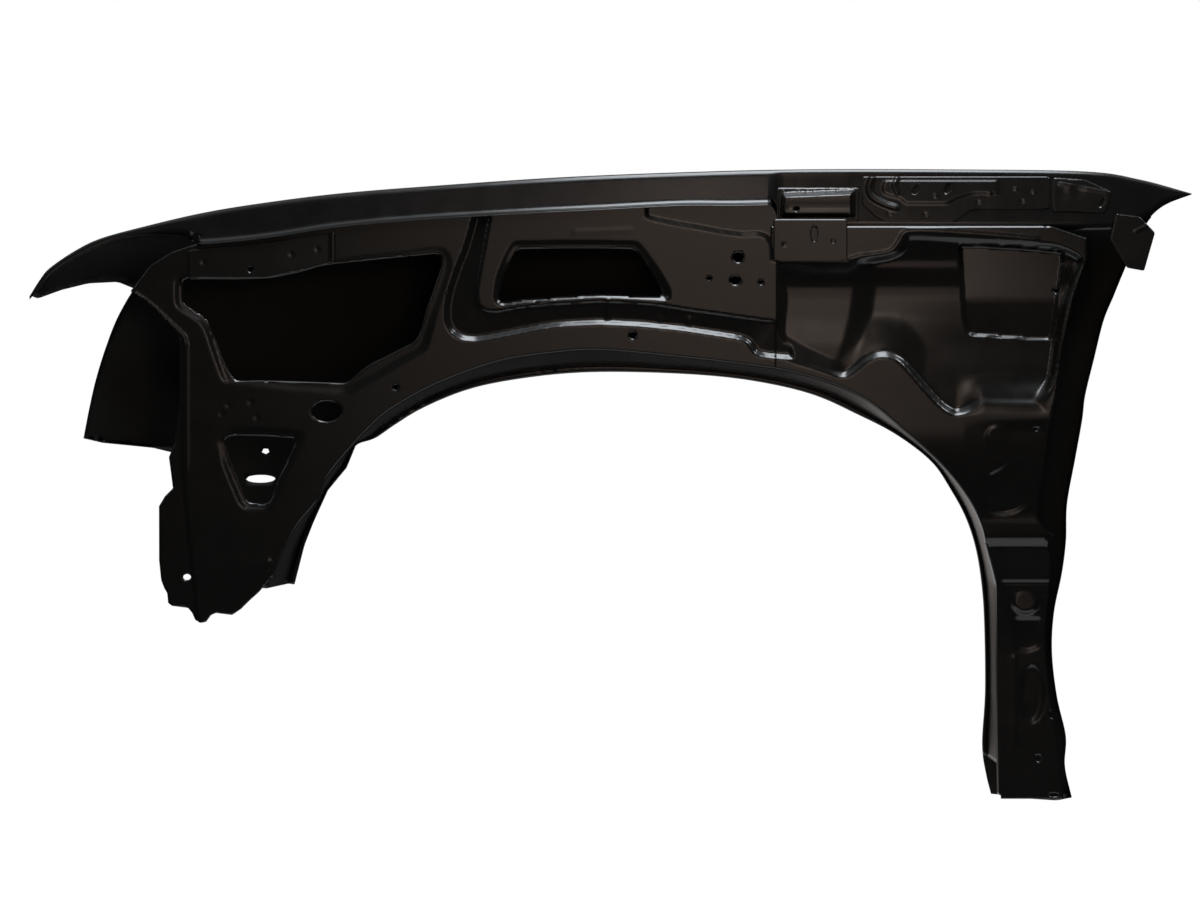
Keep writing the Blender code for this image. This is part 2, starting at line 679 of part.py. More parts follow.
def pocket_depth(points):
    """Depth of the pocket in the bay, whose floor comes forward to a level ridge."""
    levels = (POCKET_FOOT_DEPTH, POCKET_RIDGE_DEPTH, POCKET_HEAD_DEPTH)
    return np.interp(points[:, 1], height(POCKET_LEVELS_SHARES), levels)


def build_rear_inner_panel(collection):
    """The rear inner panel: a stepped bay over the wheel with a pocket in it, and a flat pad."""
    start = across(REAR_PANEL_START_SHARE)
    rear = divide(place(REAR_EDGE_SHARES), OUTLINE_PITCH)
    side = divide(np.array([rear[-1], point_on_arch(start)]), FILL_PITCH)
    arch = INNER_ARCH[(INNER_ARCH[:, 0] > start) & (INNER_ARCH[:, 1] > rear[0, 1])]
    corner = np.array([[arch[-1, 0], rear[0, 1]]])
    edge = np.concatenate([side, arch, corner, rear[:-1]])
    bay = Pressing(curve_through(place(BAY_SHARES), OUTLINE_PITCH, closed=True), bay_depth, BAY_WALL)
    channel = press_of(CHANNEL_SHARES, CHANNEL_DEPTH, CHANNEL_WALL)
    pressings = [
        bay,
        press_of(POCKET_SHARES, pocket_depth, POCKET_WALL),
        press_of(PAD_SHARES, PAD_DEPTH, PAD_WALL),
        Pressing(inset(channel.loop, -NEST_GAP), CHANNEL_DEPTH, CHANNEL_WALL),
    ]
    step = curve_through(place(BAY_STEP_SHARES[1:]), FINE_PITCH)
    half = np.array([BAY_STEP_HALF_SHARE * SQUARE, 0])
    creases = [step - half, step + half, divide(place(POCKET_RIDGE_SHARES), OUTLINE_PITCH)]
    creases = [line[signed_distance(line, bay.loop) < 0] for line in creases] + [weld_line(edge)]
    holes = [oval(hole) for hole in REAR_HOLES_SHARES]
    flat, faces = fill_sheet(edge, holes, FILL_PITCH, pressing_folds(pressings), creases)

    def form(points):
        depth = LAYER + leg_depth(points) + pressed(points, pressings)
        return np.column_stack([points[:, 0], depth, points[:, 1]])

    bm = sheet_of(flat, faces, form)
    last, first = across(REAR_TOP_TURN_SHARES)
    top = rear[-1, 1]
    head_edge = edge_between(bm, (first, top), (last, top))
    row = positions(head_edge)
    row[:, 1] = wall_depth(row[:, 0], row[:, 2]) - WELD_GAP
    turn_edge(bm, head_edge, [row])
    add_sheet("rear_inner_panel", bm, collection)


def build_leg_inner_panel(collection):
    """The inner panel of the leg behind the wheel, lapped behind the rear inner panel."""
    rear = divide(place(LEG_EDGE_SHARES), OUTLINE_PITCH)
    top = height(LEG_TOP_SHARE)
    behind = INNER_ARCH[INNER_ARCH[:, 0] > across(LEG_BEND_START_SHARE)]
    arch = behind[(behind[:, 1] < top) & (behind[:, 1] > rear[0, 1])]
    corner = np.array([[arch[0, 0], top]])
    edge = np.concatenate([corner, arch, rear])
    pressings = [
        press_of(LEG_PAD_SHARES, LEG_PAD_DEPTH, PAD_WALL),
        Pressing(oval(LEG_OVAL_SHARES), LEG_PAD_DEPTH, PAD_WALL),
    ]
    holes = [oval(hole) for hole in LEG_HOLES_SHARES]
    flat, faces = fill_sheet(edge, holes, FILL_PITCH, pressing_folds(pressings))

    def form(points):
        depth = 2 * LAYER + leg_depth(points) + pressed(points, pressings)
        return np.column_stack([points[:, 0], depth, points[:, 1]])

    add_sheet("leg_inner_panel", sheet_of(flat, faces, form), collection)


def bracket_sheet(outline, holes, pressings, on_wall):
    """The drawn face of a strip or bracket that lies on the front inner panel, or on the gutter wall."""
    edge = divide(place(outline), FINE_PITCH, closed=True)
    holes = [oval(hole) for hole in holes]
    flat, faces = fill_sheet(edge, holes, FINE_PITCH, pressing_folds(pressings))

    def form(points):
        carrier = wall_depth(points[:, 0], points[:, 1]) if on_wall else np.zeros(len(points))
        depth = carrier - LAYER + pressed(points, pressings)
        return np.column_stack([points[:, 0], depth, points[:, 1]])

    return sheet_of(flat, faces, form)


def build_brackets(collection):
    """The pieces welded over the joints: a rail strip, a slotted plate, a box, and the wall plates."""
    rail = bracket_sheet(RAIL_SHARES, SMALL_HOLES_SHARES[:1], [], on_wall=False)
    add_sheet("front_upper_rail", rail, collection)

    plate = bracket_sheet(SLOTTED_PLATE_SHARES, SLOTTED_PLATE_HOLES_SHARES, [], on_wall=False)
    corners = place(SLOTTED_PLATE_SHARES)
    foot_edge = edge_between(plate, corners[1], corners[2])[1:]
    row = positions(foot_edge)
    row[:, 1] += PLATE_TURN
    turn_edge(plate, foot_edge, [row])
    add_sheet("slotted_plate", plate, collection)

    box = press_of(BOX_SHARES, -BOX_RISE, BOX_WALL)
    bead = press_of(HINGE_BEAD_SHARES, -PLATE_BEAD, PAD_WALL)
    for name, outline, holes, pressings in (
        ("hinge_bracket_box", BOX_FLANGE_SHARES, BOX_HOLES_SHARES, [box]),
        ("hinge_reinforcement_plate", HINGE_PLATE_SHARES, HINGE_HOLES_SHARES, [bead]),
        ("corner_gusset", GUSSET_SHARES, GUSSET_HOLES_SHARES, []),
        ("rear_tab_bracket", TAB_SHARES, [], []),
    ):
        add_sheet(name, bracket_sheet(outline, holes, pressings, on_wall=True), collection)


def hold_at_ledge(collection):
    """Moves the origin to the middle of the ledge, where the fender is held to the body."""
    datum_across, datum_up = place(DATUM_SHARES)[0]
    datum = bpy.data.objects.new("ledge_datum", None)
    datum.location = (-datum_across, LEDGE_WIDTH / 2 - wall_depth(datum_across, datum_up), -datum_up)
    for piece in collection.objects:
        piece.parent = datum
    collection.objects.link(datum)


def main():
    clear_scene()
    collection = bpy.data.collections.new("car_fender")
    bpy.context.scene.collection.children.link(collection)
    build_outer_skin(collection)
    build_front_inner_panel(collection)
    build_rear_inner_panel(collection)
    build_leg_inner_panel(collection)
    build_brackets(collection)
    hold_at_ledge(collection)


main()
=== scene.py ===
# %% [markdown]
# # A car's front fender in black primer
#
# This notebook dresses the CAD model of a right-hand front fender: two skins of thin pressed
# steel, spot welded together and dipped in black primer. The CAD solids have the right sizes but few
# facets. Here each sheet is worked out again on a fine grid, so that its bends, beads and dimples
# catch the light as pressed steel does.
#
# The first cell loads the CAD model as a fixed frame and keeps its box, which the new pieces fill.

import math
from collections import namedtuple

import bpy
import numpy as np
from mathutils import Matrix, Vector


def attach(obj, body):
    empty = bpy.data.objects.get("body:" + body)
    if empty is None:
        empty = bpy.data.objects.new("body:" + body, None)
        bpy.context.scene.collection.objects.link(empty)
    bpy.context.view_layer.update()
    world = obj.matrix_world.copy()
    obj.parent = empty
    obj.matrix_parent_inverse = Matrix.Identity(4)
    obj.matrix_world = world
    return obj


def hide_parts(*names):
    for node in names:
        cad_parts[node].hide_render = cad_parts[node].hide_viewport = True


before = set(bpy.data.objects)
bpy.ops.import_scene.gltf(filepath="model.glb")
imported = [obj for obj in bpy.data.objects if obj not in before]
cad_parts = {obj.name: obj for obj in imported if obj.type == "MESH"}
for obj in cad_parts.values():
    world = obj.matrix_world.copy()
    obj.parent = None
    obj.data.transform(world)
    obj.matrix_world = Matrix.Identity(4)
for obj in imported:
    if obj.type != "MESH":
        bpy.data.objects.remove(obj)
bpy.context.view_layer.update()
print("CAD nodes:", ", ".join(sorted(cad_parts)))

# %% [markdown]
# ## The drawing grid
#
# A body panel is drawn from the side, on a grid of squares, and its depth is given apart from that.
# The same grid as in the CAD source is used here: squares are counted across from the left and down
# from the top, and one square is a little over a millimetre. X runs to the rear of the car, Y
# outboard and Z up, and the origin is the middle of the ledge under the bonnet's edge.

# %% Sizes of the fender, in metres
LENGTH = 1.300
HEIGHT = 0.716
SHEET = 0.0008
WELD_GAP = 0.0004
LAYER = SHEET + WELD_GAP
CROWN_DEPTH = 0.030
CROWN_SWEEP = 0.026
CROWN_SWEEP_LENGTH = 0.220
CROWN_RADIUS = 0.0060
SHOULDER_WIDTH = 0.100
SHOULDER_DROP = 0.110
NOSE_LENGTH = 0.400
NOSE_TAPER = 0.62
SIDE_BOW = 0.012
FLARE_DEPTH = 0.010
FLARE_WIDTH = 0.055
LEDGE_WIDTH = 0.026
WALL_LEAN = 0.28
HINGE_LEAN = -0.10
LIP_WIDTH = 0.012
LIP_RETURN = 0.004
LIP_RISE = 0.31
LIP_BEAD = 0.0013
LIP_FOLD_SHARE = 0.60
CRUMPLE_DEPTH = 0.0016
WELD_FLANGE = 0.009
EDGE_FLANGE = 0.013
EDGE_BEND = 0.0015
LEDGE_BEND = 0.008
LEG_OFFSET = 0.045
GRID_FRONT, GRID_FOOT, GRID_LONG, GRID_HIGH = 30, 810, 1162, 640
SQUARE = LENGTH / GRID_LONG


def across(squares):
    """Distance behind the front tip, from squares counted across."""
    return (np.asarray(squares, float) - GRID_FRONT) * SQUARE


def height(squares):
    """Height above the foot, from squares counted down."""
    return (GRID_FOOT - np.asarray(squares, float)) / GRID_HIGH * HEIGHT


def place(squares):
    """Points of a drawing as an array of (across, up), in metres."""
    table = np.asarray(squares, float).reshape(-1, 2)
    return np.column_stack([across(table[:, 0]), height(table[:, 1])])


def ease(amount):
    """3t^2 - 2t^3: a ramp from 0 to 1 that starts and ends level."""
    amount = np.clip(amount, 0, 1)
    return amount * amount * (3 - 2 * amount)


print(f"one square is {SQUARE * 1000:.3f} mm across")

# %% [markdown]
# ## Lines
#
# Every outline starts from a few given points. A Catmull-Rom curve carries them on smoothly where the real
# edge sweeps, and straight runs with small arcs at their corners stand for edges that a punch has cut.


# %% Curves and rounded outlines through given points
def curve_through(points, pitch, closed=False):
    """Catmull-Rom: each stretch leaves and arrives along the line between its neighbours."""
    if closed:
        padded = np.concatenate([points[-1:], points, points[:2]])
    else:
        padded = np.concatenate([2 * points[:1] - points[1:2], points, 2 * points[-1:] - points[-2:-1]])
    pieces = []
    for before, start, end, after in zip(padded, padded[1:], padded[2:], padded[3:]):
        t = np.arange(max(1, round(np.linalg.norm(end - start) / pitch)))[:, None]
        t = t / len(t)
        pieces.append(
            start
            + t * (end - before) / 2
            + t**2 * (before - 2.5 * start + 2 * end - after / 2)
            + t**3 * (1.5 * (start - end) + (after - before) / 2)
        )
    return np.concatenate(pieces if closed else pieces + [points[-1:]])


def divide(points, pitch, closed=False):
    """Straight runs between the points, cut into steps of at most the pitch."""
    ends = np.roll(points, -1, axis=0) if closed else points[1:]
    pieces = []
    for start, end in zip(points, ends):
        count = max(1, math.ceil(np.linalg.norm(end - start) / pitch))
        pieces.append(start + (end - start) * np.arange(count)[:, None] / count)
    return np.concatenate(pieces if closed else pieces + [points[-1:]])


def rounded(points, radius, steps=5):
    """A closed outline whose corners are cut short by the radius and joined by parabolas."""
    before, after = np.roll(points, 1, axis=0) - points, np.roll(points, -1, axis=0) - points
    long_before = np.linalg.norm(before, axis=1)[:, None]
    long_after = np.linalg.norm(after, axis=1)[:, None]
    start = points + before * np.minimum(radius / long_before, 0.45)
    end = points + after * np.minimum(radius / long_after, 0.45)
    t = np.linspace(0, 1, steps)[None, :, None]
    arc = (1 - t) ** 2 * start[:, None] + 2 * t * (1 - t) * points[:, None] + t**2 * end[:, None]
    return arc.reshape(-1, 2)


def oval(middle_across, middle_down, half_across, half_down, sides=20):
    """A round or oval hole, from its middle and half its sizes in squares."""
    turn = np.arange(sides) / sides * math.tau
    squares_across = middle_across + half_across * np.cos(turn)
    squares_down = middle_down + half_down * np.sin(turn)
    return place(np.column_stack([squares_across, squares_down]))[::-1]


sample = curve_through(place([(0, 0), (50, 20), (100, 0)]), 0.004)
print(f"a curve over {100 * SQUARE * 1000:.0f} mm, drawn with 3 points, gets {len(sample)} points")


# %% [markdown]
# ## Distance to a line
#
# Almost everything on a pressed panel follows from one number: how far a point is from a line. The
# wall of a pressing, a bead, a row of welds and the cut edge itself are all drawn with it. The
# distance is worked out for all points of a sheet at once, one straight stretch of the line at a
# time.


# %% Nearest place on a line, and signed distance to a loop
def nearest_on(points, start, end):
    """Distance from each point to the nearest stretch of a line, and the place on the line."""
    best, spot = np.full(len(points), np.inf), np.zeros_like(points)
    for origin, run in zip(start, end - start):
        offset = points - origin
        share = np.clip(offset @ run / max(run @ run, 1e-18), 0, 1)
        gap = offset - share[:, None] * run
        gap = gap[:, 0] ** 2 + gap[:, 1] ** 2
        nearer = gap < best
        best[nearer] = gap[nearer]
        spot[nearer] = origin + share[nearer, None] * run
    return np.sqrt(best), spot


def line_gap(points, line):
    """Distance from each point to an open line."""
    return nearest_on(points, line[:-1], line[1:])[0]


def inside(points, loop):
    """Whether a ray to the right from each point crosses the loop an odd number of times."""
    crossings = np.zeros(len(points), int)
    for start, end in zip(loop, np.roll(loop, -1, axis=0)):
        if start[1] == end[1]:
            continue
        spans = (points[:, 1] < start[1]) != (points[:, 1] < end[1])
        reach = start[0] + (points[:, 1] - start[1]) / (end[1] - start[1]) * (end[0] - start[0])
        crossings += spans & (points[:, 0] < reach)
    return crossings % 2 == 1


def loop_gap(points, loop):
    """Signed distance to a closed loop, below zero inside it, and the nearest place on it."""
    gap, spot = nearest_on(points, loop, np.roll(loop, -1, axis=0))
    return np.where(inside(points, loop), -gap, gap), spot


def near_loop(points, loop, reach, far):
    """As loop_gap, but only for points near the loop's box: the others get the value given as far."""
    low, high = loop.min(0) - reach, loop.max(0) + reach
    close = ((points > low) & (points < high)).all(1)
    gap, spot = np.full(len(points), far), points.copy()
    if close.any():
        gap[close], spot[close] = loop_gap(points[close], loop)
    return gap, spot


corner_loop = place([(0, 0), (10, 0), (10, 10), (0, 10)])[::-1]
gap_inside = loop_gap(place([(5, 5)]), corner_loop)[0][0]
print(f"the middle of a loop 10 squares wide is {gap_inside * 1000:.2f} mm from it")

# %% [markdown]
# ## A sheet on a grid
#
# A sheet starts as a grid of equal triangles laid over its outline. Grid points close to the cut
# edge are moved onto it, and triangles with a corner outside are dropped, so the edge comes out
# clean. Points close to the foot or the head of a pressed wall are moved onto those lines too, which
# keeps the highlights on the bends straight.


# %% Lay a triangle grid over an outline
Sheet = namedtuple("Sheet", "flat triangles")
Pressing = namedtuple("Pressing", "loop depth wall soft", defaults=(0.4,))


def lay_sheet(edge, holes, pitch, pressings=(), corners=()):
    """Grid points q = (i + j/2, j * sqrt(3)/2) * pitch inside the edge, and their triangles."""
    low, high = edge.min(0) - pitch, edge.max(0) + pitch
    rise = pitch * math.sqrt(3) / 2
    columns, rows = math.ceil((high[0] - low[0]) / pitch) + 2, math.ceil((high[1] - low[1]) / rise) + 2
    row, column = np.mgrid[0:rows, 0:columns]
    shifted = low[0] + (column + (row % 2) / 2) * pitch
    flat = np.column_stack([shifted.ravel(), (low[1] + row * rise).ravel()])

    for pressing in pressings:
        wall = pressing.wall(flat) if callable(pressing.wall) else pressing.wall
        for line in (0.0, 1.0):
            gap, spot = near_loop(flat, pressing.loop, pitch, np.inf)
            line = np.broadcast_to(-line * wall, gap.shape)
            beside = np.abs(gap - line) < pitch * 0.4
            step = (flat[beside] - spot[beside]) / np.where(gap[beside] == 0, 1, gap[beside])[:, None]
            flat[beside] += step * (line[beside] - gap[beside])[:, None]

    gap, spot = loop_gap(flat, edge)
    on_edge = np.abs(gap) < pitch * 0.55
    flat[on_edge] = spot[on_edge]
    outside = (gap > 0) & ~on_edge
    for hole in holes:
        gap, spot = near_loop(flat, hole, pitch, np.inf)
        on_hole = np.abs(gap) < pitch * 0.55
        flat[on_hole] = spot[on_hole]
        on_edge |= on_hole
        outside |= (gap < 0) & ~on_hole
    for corner in corners:
        nearest = np.argmin(((flat - corner) ** 2).sum(1) + np.where(outside, 1, 0))
        flat[nearest] = corner

    here = (row * columns + column)[:-1, :-1].ravel()
    odd = (row % 2)[:-1, :-1].ravel() == 1
    right, above = here + 1, here + columns
    lower = np.column_stack([here, right, np.where(odd, above + 1, above)])
    upper = np.column_stack([np.where(odd, here, right), above + 1, above])
    triangles = np.concatenate([lower, upper])
    triangles = triangles[~outside[triangles].any(1)]
    a, b, c = (flat[triangles[:, k]] for k in range(3))
    area = ((b - a)[:, 0] * (c - a)[:, 1] - (b - a)[:, 1] * (c - a)[:, 0]) / 2
    middles = (a + b + c) / 3
    kept = area > pitch**2 * 0.02
    rim = on_edge[triangles].all(1)
    kept[rim] &= loop_gap(middles[rim], edge)[0] < pitch * 0.02
    for hole in holes:
        kept[rim] &= near_loop(middles[rim], hole, pitch, np.inf)[0] > -pitch * 0.02
    used, index = np.unique(triangles[kept], return_inverse=True)
    return Sheet(flat[used], index.reshape(-1, 3))


def rim_of(sheet, line):
    """The numbers of the sheet's edge points that lie on a line, in the order of the line."""
    ends = np.concatenate([sheet.triangles[:, pair] for pair in ([0, 1], [1, 2], [2, 0])])
    ends, counts = np.unique(np.sort(ends, axis=1), axis=0, return_counts=True)
    numbers = np.unique(ends[counts == 1])
    points = sheet.flat[numbers]
    gap, spot = nearest_on(points, line[:-1], line[1:])
    numbers, spot = numbers[gap < 1e-5], spot[gap < 1e-5]
    length = np.concatenate([[0], np.cumsum(np.linalg.norm(np.diff(line, axis=0), axis=1))])
    along = np.full(len(spot), np.inf)
    for start, run, before in zip(line[:-1], np.diff(line, axis=0), length):
        long = np.linalg.norm(run)
        offset = spot - start
        share = offset @ run / long
        off_line = np.abs(offset[:, 0] * run[1] - offset[:, 1] * run[0]) / long
        here = (share > -1e-6) & (share < long + 1e-6) & (off_line < 1e-6)
        along[here] = np.minimum(along[here], before + share[here])
    return numbers[np.argsort(along)]


sample = lay_sheet(divide(place([(0, 40), (0, 0), (40, 0), (40, 40)])[::-1], 0.004, closed=True), [], 0.004)
print(f"a sheet 40 squares wide gets {len(sample.flat)} points and {len(sample.triangles)} triangles")

# %% [markdown]
# ## Pressing a sheet to depth
#
# A press pushes the sheet down inside a loop. Its wall leaves the flat through a bend, runs straight
# and arrives through another bend, so the depth across the wall is a ramp with two rounded ends. Where
# two pressings overlap, the deeper one wins.


# %% Depth of pressings, beads and dimples
def ramp(amount, soft):
    """A straight ramp from 0 to 1 whose two ends bend through parabolas that take the soft share."""
    t = np.clip(amount, 0, 1)
    full = 2 * soft * (1 - soft)
    low = t**2 / full
    high = 1 - (1 - t) ** 2 / full
    return np.where(t < soft, low, np.where(t > 1 - soft, high, (t - soft / 2) / (1 - soft)))


def pressed(points, pressings):
    """Depth at each point: full depth inside each loop, ramped over its wall, and the deepest kept."""
    depth = np.zeros(len(points))
    for pressing in pressings:
        gap, _ = near_loop(points, pressing.loop, 0.0, np.inf)
        full = pressing.depth(points) if callable(pressing.depth) else pressing.depth
        wall = pressing.wall(points) if callable(pressing.wall) else pressing.wall
        amount = full * ramp(-gap / wall, pressing.soft)
        depth = np.where(np.abs(amount) > np.abs(depth), amount, depth)
    return depth


def bead(points, line, depth, half_width):
    """A rounded groove along a line: depth * (1 - u^2)^2, with u the distance over the half width."""
    share = np.clip(line_gap(points, line) / half_width, 0, 1)
    return depth * (1 - share**2) ** 2


def step_along(points, line, depth, width):
    """A step that a line marks: the sheet is deeper by the depth on the line's left side."""
    gap, spot = nearest_on(points, line[:-1], line[1:])
    middle = line[len(line) // 2 + 1] - line[len(line) // 2]
    run = line[-1] - line[0] + middle
    side = np.sign(run[0] * (points - spot)[:, 1] - run[1] * (points - spot)[:, 0])
    return depth * ease(0.5 + side * gap / width)


def dimples(points, places, depth, radius):
    """Spot welds: shallow round dents of depth * (1 - (r/R)^2)^2 at each place."""
    total = np.zeros(len(points))
    for spot in places:
        share = np.clip(np.linalg.norm(points - spot, axis=1) / radius, 0, 1)
        total += depth * (1 - share**2) ** 2
    return total


print("a wall with soft bends, at fifths of its breadth:", ramp(np.linspace(0, 1, 6), 0.4).round(2))

# %% [markdown]
# ## Turned edges
#
# A flange is the sheet carried on past its edge and bent over. Each flange is given as a few rows of
# points, one for each bend. The rows are joined by straight stretches, and a parabola rounds off
# every bend, as a real sheet can't fold sharp.


# %% Carry an edge on through rounded bends
def through_rows(rows, radii, pitch):
    """Rows of points along the broken line through the given rows, its corners rounded off."""
    rows = [np.asarray(row, float) for row in rows]
    stretches, start = [], rows[0]
    for number, (row, radius) in enumerate(zip(rows[1:], [*radii, 0])):
        end = row
        if number < len(rows) - 2:
            before = row - rows[number]
            long = np.linalg.norm(before, axis=1)[:, None]
            end = row - before * np.minimum(radius / np.maximum(long, 1e-9), 0.45)
        count = max(1, math.ceil(np.linalg.norm(end - start, axis=1).max() / pitch))
        stretches += [start + (end - start) * k / count for k in range(1, count + 1)]
        if number < len(rows) - 2:
            after = rows[number + 2] - row
            long = np.linalg.norm(after, axis=1)[:, None]
            leave = row + after * np.minimum(radius / np.maximum(long, 1e-9), 0.45)
            for t in np.linspace(0, 1, 5)[1:]:
                stretches.append((1 - t) ** 2 * end + 2 * t * (1 - t) * row + t**2 * leave)
            start = leave
    return stretches


class Skin:
    """Points and triangles of one sheet as it grows from its flat part through its flanges."""

    def __init__(self, points, triangles):
        """Starts from the flat part's points and triangles."""
        self.points, self.triangles = [points], [triangles]
        self.count = len(points)

    def carry_on(self, numbers, rows):
        """Joins rows of points to the edge points with these numbers, and returns the last row's."""
        for row in rows:
            made = np.arange(self.count, self.count + len(row))
            a, b, c, d = numbers[:-1], numbers[1:], made[:-1], made[1:]
            self.triangles.append(np.column_stack([b, a, c]))
            self.triangles.append(np.column_stack([b, c, d]))
            self.points.append(row)
            self.count += len(row)
            numbers = made
        return numbers

    def at(self, numbers):
        """The points with these numbers."""
        return np.concatenate(self.points)[numbers]


turned = [np.array([[0, 0, 0]]), np.array([[0, 0, 0.01]]), np.array([[0, 0.01, 0.01]])]
sample = through_rows(turned, (0.003,), 0.002)
print(f"a flange 10 mm wide and 10 mm deep is carried on in {len(sample)} rows")

# %% [markdown]
# ## From arrays to objects
#
# The origin lies on the ledge, so every point is moved there at the end. Solidify gives the sheet its
# real thickness of 0.8 mm behind the drawn face.

# %% Put a sheet into the scene
DATUM = place((727, 205))[0]


def add_piece(name, skin, replaces, material, outside_out=False, thickness=SHEET, back_material=None):
    """Makes the object, in the row's frame, gives it thickness and lets it stand for its CAD node."""
    points = np.concatenate(skin.points)
    points = points - [DATUM[0], wall_depth(*DATUM) - LEDGE_WIDTH / 2, DATUM[1]]
    triangles = np.concatenate(skin.triangles)
    if outside_out:
        triangles = triangles[:, ::-1]
    mesh = bpy.data.meshes.new(name)
    mesh.from_pydata(points, [], triangles)
    mesh.shade_smooth()
    obj = bpy.data.objects.new(name, mesh)
    bpy.context.scene.collection.objects.link(obj)
    solidify = obj.modifiers.new("thickness", "SOLIDIFY")
    solidify.thickness = thickness
    solidify.offset = -1
    solidify.use_even_offset = True
    solidify.use_quality_normals = True
    mesh.materials.append(material)
    if back_material is not None:
        mesh.materials.append(back_material)
        solidify.material_offset = 1
    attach(obj, "root")
    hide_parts(replaces)
    print(f"{name}: {len(points)} points, {len(triangles)} triangles")
    return obj


# %% [markdown]
# ## Black primer
#
# The steel is dipped in black electrocoat. The film is thin, even and half glossy: it mirrors the
# room softly, shows a fine grain, and is a little duller in some places than in others. One node
# group makes the grain and the film's small changes, and each piece's material has its own values.


# %% Node group for the primer film
def primer_group():
    """Noise in three sizes: slow cloudiness for colour and gloss, and fine grain for the height."""
    group = bpy.data.node_groups.new("primer_film", "ShaderNodeTree")
    sockets = group.interface
    sockets.new_socket("Colour", in_out="INPUT", socket_type="NodeSocketColor")
    sockets.new_socket("Haze colour", in_out="INPUT", socket_type="NodeSocketColor")
    for name, value in (("Haze", 0.3), ("Roughness", 0.3), ("Spread", 0.1), ("Grain size", 1400.0)):
        made = sockets.new_socket(name, in_out="INPUT", socket_type="NodeSocketFloat")
        made.default_value = value
    sockets.new_socket("Colour", in_out="OUTPUT", socket_type="NodeSocketColor")
    sockets.new_socket("Roughness", in_out="OUTPUT", socket_type="NodeSocketFloat")
    sockets.new_socket("Height", in_out="OUTPUT", socket_type="NodeSocketFloat")
    nodes, links = group.nodes, group.links
    entry, leave = nodes.new("NodeGroupInput"), nodes.new("NodeGroupOutput")
    where = nodes.new("ShaderNodeTexCoord")

    def noise(scale, detail):
        """Noise on Object coordinates. Its scale is left open where the scale is None."""
        node = nodes.new("ShaderNodeTexNoise")
        node.inputs["Detail"].default_value = detail
        links.new(where.outputs["Object"], node.inputs["Vector"])
        if scale is not None:
            node.inputs["Scale"].default_value = scale
        return node

    cloud, drift, grain = noise(9.0, 4.0), noise(42.0, 3.0), noise(None, 2.0)
    links.new(entry.outputs["Grain size"], grain.inputs["Scale"])
    patchy = nodes.new("ShaderNodeMapRange")
    patchy.inputs["From Min"].default_value = 0.38
    patchy.inputs["From Max"].default_value = 0.68
    links.new(cloud.outputs["Fac"], patchy.inputs["Value"])
    share = nodes.new("ShaderNodeMath")
    share.operation = "MULTIPLY"
    links.new(patchy.outputs["Result"], share.inputs[0])
    links.new(entry.outputs["Haze"], share.inputs[1])
    tint = nodes.new("ShaderNodeMix")
    tint.data_type = "RGBA"
    links.new(share.outputs[0], tint.inputs["Factor"])
    links.new(entry.outputs["Colour"], tint.inputs["A"])
    links.new(entry.outputs["Haze colour"], tint.inputs["B"])
    links.new(tint.outputs["Result"], leave.inputs["Colour"])
    centred = nodes.new("ShaderNodeMath")
    centred.operation = "SUBTRACT"
    links.new(drift.outputs["Fac"], centred.inputs[0])
    centred.inputs[1].default_value = 0.5
    rough = nodes.new("ShaderNodeMath")
    rough.operation = "MULTIPLY_ADD"
    links.new(centred.outputs[0], rough.inputs[0])
    links.new(entry.outputs["Spread"], rough.inputs[1])
    links.new(entry.outputs["Roughness"], rough.inputs[2])
    links.new(rough.outputs[0], leave.inputs["Roughness"])
    wave = nodes.new("ShaderNodeMath")
    wave.operation = "MULTIPLY_ADD"
    links.new(drift.outputs["Fac"], wave.inputs[0])
    wave.inputs[1].default_value = 0.8
    links.new(grain.outputs["Fac"], wave.inputs[2])
    links.new(wave.outputs[0], leave.inputs["Height"])
    return group


PRIMER_FILM = primer_group()
outputs = [item.name for item in PRIMER_FILM.interface.items_tree if item.in_out == "OUTPUT"]
print("the primer film gives:", ", ".join(outputs))


def primer(name, colour, roughness, haze, spread=0.12, bump=0.06):
    """A primer material: the group's colour, roughness and height on a Principled shader."""
    material = bpy.data.materials.new(name)
    material.use_nodes = True
    nodes, links = material.node_tree.nodes, material.node_tree.links
    shader = nodes["Principled BSDF"]
    film = nodes.new("ShaderNodeGroup")
    film.node_tree = PRIMER_FILM
    film.inputs["Colour"].default_value = (*colour, 1)
    film.inputs["Haze colour"].default_value = (0.0075, 0.0060, 0.0045, 1)
    film.inputs["Haze"].default_value = haze
    film.inputs["Roughness"].default_value = roughness
    film.inputs["Spread"].default_value = spread
    links.new(film.outputs["Colour"], shader.inputs["Base Color"])
    links.new(film.outputs["Roughness"], shader.inputs["Roughness"])
    height_to_normal = nodes.new("ShaderNodeBump")
    height_to_normal.inputs["Strength"].default_value = bump
    height_to_normal.inputs["Distance"].default_value = 0.0002
    links.new(film.outputs["Height"], height_to_normal.inputs["Height"])
    links.new(height_to_normal.outputs["Normal"], shader.inputs["Normal"])
    shader.inputs["IOR"].default_value = 1.6
    return material


# %% [markdown]
# ## Lines that the sheets share
#
# Four lines hold the fender together: the crown, which is the edge between the painted side and the
# gutter; the foot of the gutter wall; the wheel opening; and the line where the inner panels end
# above the wheel.

